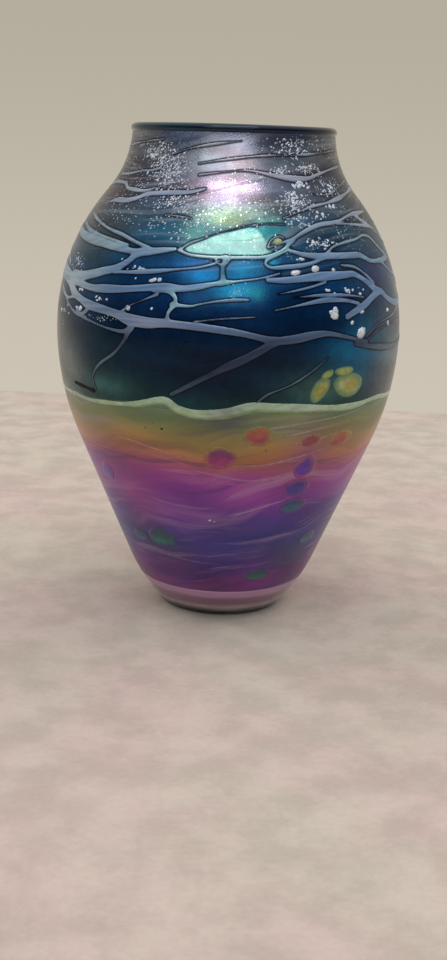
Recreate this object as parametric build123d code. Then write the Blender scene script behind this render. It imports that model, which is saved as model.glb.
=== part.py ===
from build123d import *
import math
import os

# Hand blown vase. Millimetres, +Z up, origin at the middle of the resting face.
# Azimuth 0 is the front (-Y) and grows towards +X. "Lean" is the angle in degrees by which
# the wall opens outward as it rises.

# Driving sizes of the body
height = 216.0
belly_radius = 76.4
belly_height = 127.0
belly_bow = 120.0
taper_lean = 23.0
taper_foot_height = 24.0
foot_bow = 76.0
shoulder_bow = 92.0
shoulder_lean = -40.7
neck_bow = 43.0

# Glass layers, measured inward from the outer face
overlay_depth = 1.2
wall_depth = 4.0
trail_depth = 0.5
trail_rise = 0.3
inlay_depth = 0.8
petal_eye_depth = 0.4
flake_rise = 0.15
ribbon_width = 3.0
ribbon_waves = 9
ribbon_lift = 1.2
ribbon_margin = 6.0
ribbon_phase = 1.9
tip_pinch = 0.8

# Flakes: turn between neighbours (golden angle), tilt step, and how much their size varies
flake_turn = 137.5
flake_tilt = 47.0
flake_corners = 5
flake_size_low = 0.6
flake_size_phase = 2.1

# Rim, colour changes and base
lip_radius = 2.7
lip_ring_radius = 42.2
rim_height = 212.2
horizon_height = 103.0
amber_height = 80.0
colour_end_height = 15.0
core_floor_height = 9.0
inner_wall_start = 19.0
inner_floor_height = 12.5
shoulder_height = 150.0
neck_height = 187.0
pontil_radius = 17.0
pontil_depth = 2.6
foot_edge_radius = 1.2
inlay_end_height = 208.2
flake_end_height = 210.2
touching = 1e-6

# Tools that cut outlines through the wall: distance of their start from the axis, and length
prism_start = 18.0
prism_reach = 90.0


def lean_point(centre, radius, lean):
    """Point of a round stretch of the profile where the wall has this lean."""
    angle = math.radians(lean)
    return centre[0] + radius * math.cos(angle), centre[1] - radius * math.sin(angle)


belly_centre = (belly_radius - belly_bow, belly_height)
shoulder_centre = (belly_radius - shoulder_bow, belly_height)
taper_top = lean_point(belly_centre, belly_bow, taper_lean)
taper_drop = taper_top[1] - taper_foot_height
taper_foot = (taper_top[0] - taper_drop * math.tan(math.radians(taper_lean)), taper_foot_height)
foot_centre = lean_point(taper_foot, -foot_bow, taper_lean)
neck_start = lean_point(shoulder_centre, shoulder_bow, shoulder_lean)
neck_centre = lean_point(neck_start, neck_bow, shoulder_lean)
foot_lean = math.degrees(math.asin(foot_centre[1] / foot_bow))

# Round stretches from the foot up: centre, radius (negative where hollow), lowest and highest lean
stretches = [
    (foot_centre, foot_bow, foot_lean, taper_lean),
    (belly_centre, belly_bow, taper_lean, 0.0),
    (shoulder_centre, shoulder_bow, 0.0, shoulder_lean),
    (neck_centre, -neck_bow, shoulder_lean, 0.0),
]


def wall_radius(z):
    """Radius of the outer face at height z."""
    if taper_foot_height < z < taper_top[1]:
        return taper_top[0] - (taper_top[1] - z) * math.tan(math.radians(taper_lean))
    for centre, radius, low_lean, high_lean in stretches:
        top = lean_point(centre, radius, high_lean)[1]
        if z <= top + touching:
            return centre[0] + radius * math.cos(math.asin((centre[1] - z) / radius))
    return lip_ring_radius + lip_radius


def section_line(start, end):
    return Line((start[0], 0, start[1]), (end[0], 0, end[1]))


def section_arc(start, middle, end):
    return ThreePointArc((start[0], 0, start[1]), (middle[0], 0, middle[1]), (end[0], 0, end[1]))


def wall_edges(depth, low, high):
    """Profile of the wall at this depth below its outer face, from height low to height high."""
    edges = []
    last = None
    for centre, radius, low_lean, high_lean in stretches:
        reach = radius - depth
        bottom = max(low, lean_point(centre, reach, low_lean)[1])
        top = min(high, lean_point(centre, reach, high_lean)[1])
        if top - bottom < touching:
            continue
        leans = [math.degrees(math.asin((centre[1] - z) / reach)) for z in (bottom, top)]
        middle_lean = sum(leans) / 2
        points = [lean_point(centre, reach, lean) for lean in (leans[0], middle_lean, leans[1])]
        if last and math.dist(last, points[0]) > touching:
            edges.append(section_line(last, points[0]))
        edges.append(section_arc(*points))
        last = points[2]
    return edges


def edge_end(edge, where):
    point = edge.position_at(where)
    return point.X, point.Z


def shell(outer_depth, inner_depth, low, high):
    """Solid of revolution between two depths of the wall."""
    outer = wall_edges(outer_depth, low, high)
    inner = wall_edges(inner_depth, low, high)
    bottom = section_line(edge_end(inner[0], 0), edge_end(outer[0], 0))
    top = section_line(edge_end(inner[-1], 1), edge_end(outer[-1], 1))
    return revolve(make_face(outer + inner + [bottom, top]), Axis.Z)


def filled_wall(depth, low, floor_height):
    """The wall at this depth filled in down to a shallow bowl-shaped floor."""
    outer = wall_edges(depth, low, rim_height)
    start = edge_end(outer[0], 0)
    rise = start[1] - floor_height
    bowl = (start[0] ** 2 + rise**2) / (2 * rise)
    middle_r = start[0] / 2
    middle = (middle_r, floor_height + bowl - math.sqrt(bowl**2 - middle_r**2))
    floor = section_arc((0, floor_height), middle, start)
    rim = section_line(edge_end(outer[-1], 1), (0, rim_height))
    axis = section_line((0, rim_height), (0, floor_height))
    return revolve(make_face(outer + [floor, rim, axis]), Axis.Z)


def slab(low, high):
    """Everything between two heights."""
    side = 3 * belly_radius
    return Pos(0, 0, (low + high) / 2) * Box(side, side, high - low)


def facing(azimuth):
    """Upright plane across the vase, looking outward at this azimuth."""
    angle = math.radians(azimuth)
    outward = Vector(math.sin(angle), -math.cos(angle), 0)
    across = Vector(math.cos(angle), math.sin(angle), 0)
    return Plane(origin=outward * prism_start, x_dir=across, z_dir=outward)


def prism(azimuth, outline):
    return extrude(facing(azimuth) * outline, prism_reach)


def band_outline(azimuth, route, widths):
    """Flat outline of a glass thread that runs along a route of (azimuth, height) points."""
    points = []
    for point_azimuth, z in route:
        points.append((wall_radius(z) * math.sin(math.radians(point_azimuth - azimuth)), z))
    left = []
    right = []
    for index, (x, z) in enumerate(points):
        before = points[max(index - 1, 0)]
        after = points[min(index + 1, len(points) - 1)]
        run = math.dist(before, after)
        half = widths[index] / 2
        offset_x = -(after[1] - before[1]) / run * half
        offset_z = (after[0] - before[0]) / run * half
        left.append((x + offset_x, z + offset_z))
        right.append((x - offset_x, z - offset_z))
    caps = []
    for index, neighbour in ((0, 1), (-1, -2)):
        run = math.dist(points[index], points[neighbour])
        half = widths[index] / 2
        tip = [points[index][k] + (points[index][k] - points[neighbour][k]) / run * half for k in (0, 1)]
        caps.append(ThreePointArc(left[index], tuple(tip), right[index]))
    return make_face([Spline(*left), Spline(*right)] + caps)


def even_widths(start, end, count):
    """Widths that change evenly along a thread, pinched a little at both tips."""
    widths = [start + (end - start) * index / (count - 1) for index in range(count)]
    widths[0] *= tip_pinch
    widths[-1] *= tip_pinch
    return widths


def thread_prism(route, start_width, end_width):
    middle = (route[0][0] + route[-1][0]) / 2
    widths = even_widths(start_width, end_width, len(route))
    return prism(middle, band_outline(middle, route, widths))


def disc_prism(azimuth, z, width, tall, tilt=0):
    return prism(azimuth, Pos(0, z) * Rot(0, 0, tilt) * Ellipse(width / 2, tall / 2))


def flake_prisms(azimuth, z, spread_azimuth, spread_z, count, size):
    """Tiny flakes scattered over an oval patch by the golden angle."""
    prisms = []
    for index in range(count):
        share = math.sqrt((index + 0.5) / count)
        turn = math.radians(index * flake_turn)
        flake_azimuth = azimuth + spread_azimuth * share * math.cos(turn)
        flake_z = z + spread_z * share * math.sin(turn)
        swell = math.sin(index * flake_size_phase) ** 2
        flake_size = size * (flake_size_low + (1 - flake_size_low) * swell)
        flake = RegularPolygon(flake_size / 2, flake_corners)
        outline = Pos(0, flake_z) * Rot(0, 0, index * flake_tilt) * flake
        prisms.append(prism(flake_azimuth, outline))
    return prisms


# Trailed threads: name, start width, end width, route of (azimuth, height)
trails = [
    ("belly_trail_front", 5.0, 2.8,
     [(-74, 152), (-66, 149.8), (-60, 145.2), (-50, 141.6), (-40, 140), (-32, 138), (-20, 137.6), (-8, 137.2),
      (2, 135.6), (13, 132.4)]),
    ("left_rising_trail", 4.2, 2.2,
     [(-64, 151.8), (-57, 152.4), (-50, 154.1), (-42, 156.6), (-36, 160), (-30, 163.8), (-19, 166.2)]),
    ("left_middle_trail", 2.8, 1.6,
     [(-60, 149.6), (-50, 148.4), (-36, 149.4), (-20, 151.7), (-13, 151.8), (-5, 153.7), (0, 154.6)]),
    ("left_inner_trail", 1.6, 1.2, [(-40, 155.8), (-27, 157.1), (-16, 158.8), (-5, 161.4)]),
    ("cell_loop_trail", 1.5, 1.7,
     [(-23.7, 150.2), (-20.3, 150.4), (-16.6, 147.3), (-17, 144.7), (-18.6, 139.2)]),
    ("shoulder_trail_left", 3.2, 2.4, [(-74, 169), (-60, 167), (-42, 165.1), (-34, 164.2), (-28, 164.8)]),
    ("shoulder_thread_left", 1.3, 1.3,
     [(-72, 177), (-60, 174.2), (-50, 171.8), (-42, 170.2), (-29, 166.2)]),
    ("neck_thread_left", 1.5, 1.0, [(-72, 190.4), (-60, 190), (-54, 188.4), (-42, 187.6), (-34, 189.4)]),
    ("lens_upper_trail", 1.0, 0.8, [(-17, 166.2), (-13, 169), (-5, 172.6), (5, 175.6), (9, 176.2)]),
    ("lens_lower_trail", 1.2, 1.3,
     [(-17.4, 165.4), (-12, 164.2), (-2, 163.8), (9, 164.2), (15.5, 166), (22, 170.6)]),
    ("middle_trail_low", 1.3, 1.0, [(-17.6, 145.2), (-11.7, 145), (-3.9, 147.2), (6, 148.2)]),
    ("middle_trail_high", 1.3, 0.9, [(-3, 154), (3.3, 155.2), (9, 156.2), (16, 158.2)]),
    ("right_fork_trail", 2.4, 3.2,
     [(12, 155.6), (23, 156.2), (34, 157.4), (45, 156.8), (55.6, 150.4), (64, 146), (78, 143.8)]),
    ("right_stub_trail", 3.0, 2.8, [(56.5, 149.4), (52, 147.3), (47.8, 144.9), (39.6, 141)]),
    ("right_cell_trail", 1.0, 1.6, [(14, 144.2), (24, 146.6), (34, 147.8), (45, 145.8)]),
    ("right_upper_trail", 1.8, 2.2,
     [(20, 167), (26, 165.3), (38, 164.7), (50, 164.4), (60, 161.8), (72, 162)]),
    ("shoulder_thread_right_low", 1.3, 1.8,
     [(35, 166), (39, 168.3), (48, 170.2), (57.5, 171.9), (65, 169), (74, 162.6)]),
    ("shoulder_thread_right_high", 1.5, 1.4,
     [(20.5, 170), (31, 175.5), (42, 177.3), (53, 179.7), (72, 181)]),
    ("neck_thread_right", 1.0, 1.2, [(20, 179), (35, 183.6), (48, 185.4), (60, 187.7), (74, 189.8)]),
    ("diagonal_trail", 3.2, 1.8, [(14, 131.8), (7, 126.4), (0, 121.8), (-8, 116.2), (-17, 109.5)]),
    ("fine_thread_left", 1.9, 1.2,
     [(-31, 134.5), (-33, 129.5), (-37, 123.6), (-43.5, 118), (-47.4, 112), (-46.6, 107)]),
    ("fine_thread_right", 0.8, 0.8, [(32, 125), (27.5, 120.5), (20, 114.6), (9.6, 107.6)]),
    ("belly_trail_right", 1.8, 3.2, [(43, 129.7), (60, 126.4), (84, 127), (97, 132), (108, 138)]),
    ("belly_trail_back_right", 3.2, 4.4,
     [(76, 143.6), (90, 145), (106, 148), (122, 153), (138, 156), (152, 152)]),
    ("belly_trail_back_left", 4.4, 4.8,
     [(154, 152), (172, 144), (190, 140), (208, 142), (226, 149), (242, 155)]),
    ("belly_trail_left", 4.6, 5.2, [(240, 155), (252, 158), (264, 157.5), (276, 154.5), (286, 151.6)]),
    ("shoulder_trail_back", 2.4, 2.2,
     [(110, 166), (126, 171), (144, 174), (162, 171), (180, 165), (196, 163)]),
    ("shoulder_trail_back_left", 2.2, 3.0,
     [(200, 163), (218, 168), (236, 174), (254, 176), (272, 171), (286, 168.8)]),
    ("diagonal_trail_back", 3.0, 1.6, [(212, 142), (204, 134), (194, 126), (182, 119), (170, 112)]),
]

# Slices of patterned cane: node, then (azimuth, height, width, tall, tilt) of each slice
slices = {
    "red_orange_murrine": [
        (11, 93, 12, 7.5, 0), (44, 89, 12, 6.5, 0), (128, 92, 11, 8, 10), (222, 91, 12, 7, 0),
    ],
    "magenta_murrine": [(-1.5, 83, 13, 8.4, 0), (158, 84, 11, 8, 0)],
    "dark_red_murrine": [(30.5, 90, 9, 4.6, 0), (246, 88, 9, 5, 0)],
    "violet_murrine": [(31, 78, 9.5, 9.5, 0), (-55, 68, 9, 7, 20), (196, 76, 10, 8, 0)],
    "blue_murrine": [(30, 67.6, 13, 6.6, 0), (108, 66, 11, 7, 0), (268, 60, 11, 7, 0)],
    "teal_murrine": [(31, 58.8, 12, 7, 0), (49, 40, 10, 5.5, 0), (-46, 39, 9, 5, 0), (176, 56, 11, 7, 0)],
    "green_murrine": [(21, 24, 11.5, 6.4, 0), (-31, 41, 13, 9, 0), (140, 38, 12, 8, 0), (232, 42, 11, 7, 0)],
}

# Petals and their amber eyes: azimuth, height, width, tall, tilt
petals = [
    (30.4, 112.6, 6.2, 9.6, -32),
    (41.6, 112.6, 16.6, 8.2, 0),
    (38.6, 118.2, 8.6, 3.6, 0),
    (31.6, 117.6, 5.2, 2.6, 20),
]
petal_eyes = [(30.6, 112.4, 2.6, 5.6, -32), (42.6, 112.4, 9.6, 4.2, 0)]
back_petals = [(203, 111.5, 6, 9.6, 24), (211, 113, 14, 8, -8), (207, 119, 8, 3.8, 0)]

# Dark stringer chip: route of (azimuth, height), start width, end width
dark_chip = ([(-59, 107), (-53, 106.6), (-48, 106)], 2.2, 2.6)

# Flake patches: azimuth, height, spread in azimuth, spread in height, count, size
flake_patches = {
    "neck_flakes_left": (-34, 196, 21, 10, 14, 2.0),
    "neck_flakes_right": (34, 193, 22, 14, 16, 2.0),
    "neck_flakes_back": (182, 195, 34, 10, 12, 2.0),
    "cell_flakes_left": (-56, 148, 16, 14, 7, 2.2),
    "cell_flakes_right": (38, 150, 24, 16, 9, 2.4),
}

# Pale strands in the lower glass: node, then start width, end width, route
strands = {
    "pale_strand_high": (0.9, 1.2, [(-14, 77), (-4, 75), (8, 72.5), (20, 73), (26, 75)]),
    "pale_strand_low": (0.9, 0.9, [(0, 54.5), (10, 57), (18, 60), (25, 61.5)]),
    "blue_strand": (0.9, 0.9, [(-44, 33), (-30, 32), (-12, 30.5), (2, 29.8)]),
    "pale_strand_back": (1.0, 1.2, [(150, 66), (164, 63), (180, 60), (196, 62), (208, 66)]),
}


def make_core():
    """First gather, the clear bubble that all colour lies on, as courses from the floor to the neck."""
    bubble = filled_wall(overlay_depth, colour_end_height, core_floor_height) - filled_wall(
        wall_depth, inner_wall_start, inner_floor_height
    )
    levels = [0, inner_wall_start, horizon_height, shoulder_height, neck_height, height]
    names = ["core_floor", "core_lower_wall", "core_belly_wall", "core_shoulder_wall", "core_neck_wall"]
    return {name: bubble & slab(low, high) for name, low, high in zip(names, levels, levels[1:])}


def make_foot():
    """Thick clear base with a polished hollow where the pontil was."""
    outer = wall_edges(0, 0, colour_end_height)
    bottom = section_line((0, 0), edge_end(outer[0], 0))
    top = section_line(edge_end(outer[-1], 1), (0, colour_end_height))
    axis = section_line((0, colour_end_height), (0, 0))
    blank = revolve(make_face(outer + [bottom, top, axis]), Axis.Z)
    foot = blank - filled_wall(overlay_depth, colour_end_height, core_floor_height)
    bowl = (pontil_radius**2 + pontil_depth**2) / (2 * pontil_depth)
    foot -= Pos(0, 0, pontil_depth - bowl) * Sphere(bowl)
    rim_edges = foot.edges().filter_by(GeomType.CIRCLE).group_by(Axis.Z)[0]
    return chamfer(rim_edges.sort_by(SortBy.RADIUS)[-1], foot_edge_radius)


def make_horizon_ribbon(band_shell):
    """Wavy pale ribbon all round the colour change, as slabs between wavy edges."""
    pieces = []
    step = 180 / ribbon_waves
    reach = (belly_radius + ribbon_margin) * math.tan(math.radians(step))
    lifts = [ribbon_lift * math.sin(index * ribbon_phase) for index in range(ribbon_waves)]
    for index, lift in enumerate(lifts):
        next_lift = lifts[(index + 1) % ribbon_waves]
        levels = [lift, (lift + next_lift) / 2, next_lift]
        points = [(side * reach, horizon_height + level) for side, level in zip((-1, 0, 1), levels)]
        low, high = [
            Spline(*[(x, z + offset) for x, z in points]) for offset in (-ribbon_width / 2, ribbon_width / 2)
        ]
        sides = [Line(low @ 0, high @ 0), Line(low @ 1, high @ 1)]
        block = prism(index * 360 / ribbon_waves, make_face([low, high] + sides))
        pieces.append(block & wedge(index * 360 / ribbon_waves, step) & band_shell)
    ribbon = pieces[0]
    for piece in pieces[1:]:
        ribbon += piece
    return ribbon


def wedge(azimuth, half_angle):
    """Upright wedge from the axis outward, this many degrees each side of its azimuth."""
    reach = prism_start + prism_reach
    corners = [(0, 0)]
    for side in (-half_angle, half_angle):
        angle = math.radians(azimuth + side)
        corners.append((reach * math.sin(angle), -reach * math.cos(angle)))
    return extrude(make_face(Polyline(*corners, close=True)), height)


def joined(solids):
    return Compound(children=[solid for shape in solids for solid in shape.solids()])


def near(box, other):
    """Whether two boxes meet."""
    gaps = [max(a - d, c - b) for a, b, c, d in zip(box.min, box.max, other.min, other.max)]
    return max(gaps) <= 0


def cut(shape, tools):
    """The shape without the solids of these tools that lie near it."""
    box = shape.bounding_box(optimal=False)
    solids = [solid for tool in tools for solid in tool.solids()]
    close = [solid for solid in solids if near(box, solid.bounding_box(optimal=False))]
    return shape - close if close else shape


def main():
    os.makedirs("parts", exist_ok=True)
    nodes = make_core()
    nodes["clear_foot"] = make_foot()

    overlay = shell(0, overlay_depth, colour_end_height, rim_height)
    lip = Pos(0, 0, height - lip_radius) * Torus(lip_ring_radius, lip_radius)
    nodes["lip_wrap"] = lip - nodes["core_neck_wall"] - overlay

    trail_shell = shell(-trail_rise, trail_depth, amber_height, rim_height - 2 * lip_radius)
    taken = []
    ribbon = make_horizon_ribbon(trail_shell)
    nodes["horizon_ribbon"] = ribbon
    taken.append(ribbon)
    for name, start_width, end_width, route in trails:
        trail = trail_shell & thread_prism(route, start_width, end_width)
        nodes[name] = cut(trail, taken)
        taken.append(nodes[name])
    chip = trail_shell & thread_prism(*dark_chip)
    nodes["dark_chip"] = cut(chip, taken)
    taken.append(nodes["dark_chip"])

    inlay_shell = shell(0, inlay_depth, colour_end_height, inlay_end_height)
    eye_shell = shell(0, petal_eye_depth, colour_end_height, inlay_end_height)
    inlays = []
    eyes = joined([eye_shell & disc_prism(*eye) for eye in petal_eyes])
    nodes["petal_eyes"] = cut(eyes, taken)
    for name, group in (("petals_front", petals), ("petals_back", back_petals)):
        whole = inlay_shell & disc_prism(*group[0])
        for petal in group[1:]:
            whole += inlay_shell & disc_prism(*petal)
        nodes[name] = cut(whole, taken + [eyes])
        inlays.append(nodes[name])
    for name, group in slices.items():
        whole = joined([inlay_shell & disc_prism(*place) for place in group])
        nodes[name] = cut(whole, inlays + taken)
        inlays.append(nodes[name])
    for name, (start_width, end_width, route) in strands.items():
        strand = eye_shell & thread_prism(route, start_width, end_width)
        nodes[name] = cut(strand, inlays)
        inlays.append(nodes[name])

    flake_shell = shell(-flake_rise, 0, amber_height, flake_end_height)
    for name, patch in flake_patches.items():
        flakes = joined([flake_shell & flake for flake in flake_prisms(*patch)])
        nodes[name] = joined([cut(flake, taken) for flake in flakes.solids()])

    removed = taken + inlays + [eyes]
    nodes["upper_colour_overlay"] = cut(overlay & slab(horizon_height, height), removed)
    nodes["horizon_colour_layer"] = cut(overlay & slab(amber_height, horizon_height), removed)
    nodes["lower_colour_overlay"] = cut(overlay & slab(colour_end_height, amber_height), removed)

    for name, shape in nodes.items():
        export_step(shape, f"parts/{name}.step")
        print(name, len(shape.solids()), round(sum(s.volume for s in shape.solids()), 1))


main()
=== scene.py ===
import bpy
import math
import numpy as np
from mathutils import Matrix, Vector


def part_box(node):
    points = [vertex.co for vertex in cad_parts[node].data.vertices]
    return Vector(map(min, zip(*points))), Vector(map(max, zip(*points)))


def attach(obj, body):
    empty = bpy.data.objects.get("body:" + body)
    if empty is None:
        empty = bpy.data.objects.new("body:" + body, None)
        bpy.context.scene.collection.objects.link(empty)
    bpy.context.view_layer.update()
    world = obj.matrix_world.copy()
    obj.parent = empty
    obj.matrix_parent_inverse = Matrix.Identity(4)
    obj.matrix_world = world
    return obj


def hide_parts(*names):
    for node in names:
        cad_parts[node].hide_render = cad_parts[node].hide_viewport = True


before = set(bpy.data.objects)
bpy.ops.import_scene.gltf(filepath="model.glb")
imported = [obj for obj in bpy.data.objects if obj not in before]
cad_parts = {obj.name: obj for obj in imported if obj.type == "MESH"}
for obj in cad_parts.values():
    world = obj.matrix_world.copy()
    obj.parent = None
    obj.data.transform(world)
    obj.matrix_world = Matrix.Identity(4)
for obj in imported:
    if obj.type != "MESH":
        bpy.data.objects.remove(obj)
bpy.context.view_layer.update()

# Sizes in millimetres, azimuths in degrees: 0 is the front (-Y) and grows towards +X.
mm = 0.001
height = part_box("lip_wrap")[1].z / mm
horizon_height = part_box("upper_colour_overlay")[0].z / mm
colour_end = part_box("lower_colour_overlay")[0].z / mm
wall_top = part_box("upper_colour_overlay")[1].z / mm
amber_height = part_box("horizon_colour_layer")[0].z / mm
belly_radius = 76.4
belly_height = 127.0
belly_bow = 120.0
taper_lean = math.radians(23.0)
taper_foot_height = 24.0
foot_bow = 76.0
shoulder_bow = 92.0
shoulder_lean = math.radians(-40.7)
neck_bow = 43.0
overlay_depth = 1.2
wall_depth = 4.0
lip_radius = 2.7
lip_ring_radius = 42.2
lip_flatness = 0.78
core_floor_height, core_floor_rise = 9.0, 6.0
inner_wall_start = 19.0
inner_floor_height, inner_floor_rise = 12.5, 6.2
pontil_radius, pontil_depth = 17.0, 2.6
seat_height, seat_rise = 8.96, 6.02


# ---------------------------------------------------------------- form of the wall

def lean_point(centre, radius, lean):
    return centre[0] + radius * math.cos(lean), centre[1] - radius * math.sin(lean)


belly_centre = (belly_radius - belly_bow, belly_height)
shoulder_centre = (belly_radius - shoulder_bow, belly_height)
taper_top = lean_point(belly_centre, belly_bow, taper_lean)
taper_foot_radius = taper_top[0] - (taper_top[1] - taper_foot_height) * math.tan(taper_lean)
foot_centre = lean_point((taper_foot_radius, taper_foot_height), -foot_bow, taper_lean)
neck_start = lean_point(shoulder_centre, shoulder_bow, shoulder_lean)
neck_centre = lean_point(neck_start, neck_bow, shoulder_lean)


def wall_lean(z):
    """Lean of the wall from upright, in radians: positive where it opens outward as it rises."""
    z = np.asarray(z, float)
    bows = [(foot_centre, foot_bow), (belly_centre, belly_bow), (shoulder_centre, shoulder_bow),
            (neck_centre, -neck_bow)]
    foot, belly, shoulder, neck = [np.arcsin(np.clip((c[1] - z) / b, -1, 1)) for c, b in bows]
    return np.select([z < taper_foot_height, z < taper_top[1], z < belly_height, z < neck_start[1]],
                     [foot, np.full(z.shape, taper_lean), belly, shoulder], neck)


def wall_radius(z):
    """Radius of the outer face at height z."""
    z = np.asarray(z, float)
    lean = np.cos(wall_lean(z))
    straight = taper_top[0] - (taper_top[1] - z) * math.tan(taper_lean)
    return np.select([z < taper_foot_height, z < taper_top[1], z < belly_height, z < neck_start[1]],
                     [foot_centre[0] + foot_bow * lean, straight, belly_centre[0] + belly_bow * lean,
                      shoulder_centre[0] + shoulder_bow * lean], neck_centre[0] - neck_bow * lean)


def profile(heights, rise=0.0):
    """(radius, height) pairs of the wall, moved outward by rise."""
    lean = wall_lean(heights)
    return np.column_stack([wall_radius(heights) + rise * np.cos(lean), heights - rise * np.sin(lean)])


def on_wall(azimuth, z, rise=0.0):
    """Points in millimetres on the wall, rise above its outer face."""
    lean = wall_lean(z)
    radius = wall_radius(z) + rise * np.cos(lean)
    angle = np.radians(azimuth)
    return np.stack([radius * np.sin(angle), -radius * np.cos(angle), z - rise * np.sin(lean)], -1)


def turn_gap(azimuth, other):
    """Signed difference of two azimuths, from -180 to 180."""
    return (np.asarray(azimuth) - other + 180) % 360 - 180


def smooth_step(value, low, high):
    share = np.clip((value - low) / (high - low), 0, 1)
    return share * share * (3 - 2 * share)


def ripple(azimuth, z, size, seed):
    """Smooth wandering value from about -1 to 1 over the wall, whose features are about size wide."""
    rng = np.random.default_rng(seed)
    angle = np.radians(azimuth)
    total = np.zeros(np.broadcast(angle, z).shape)
    for _ in range(9):
        turns = rng.integers(1, max(2, round(150 / size)) + 1)
        total += np.sin(turns * angle + rng.normal() * 4 * np.asarray(z) / size + rng.uniform(0, 6.3))
    return total / 4.0


def curve_through(points, count):
    """Catmull-Rom curve through rows of numbers, with count steps a span."""
    points = np.asarray(points, float)
    padded = np.vstack([2 * points[0] - points[1], points, 2 * points[-1] - points[-2]])
    rows = []
    for a, b, c, d in zip(padded, padded[1:], padded[2:], padded[3:]):
        for step in range(count):
            t = step / count
            rows.append(0.5 * (2 * b + (c - a) * t + (2 * a - 5 * b + 4 * c - d) * t**2
                               + (3 * b - a - 3 * c + d) * t**3))
    return np.array(rows + [points[-1]])


# ---------------------------------------------------------------- pattern

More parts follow.
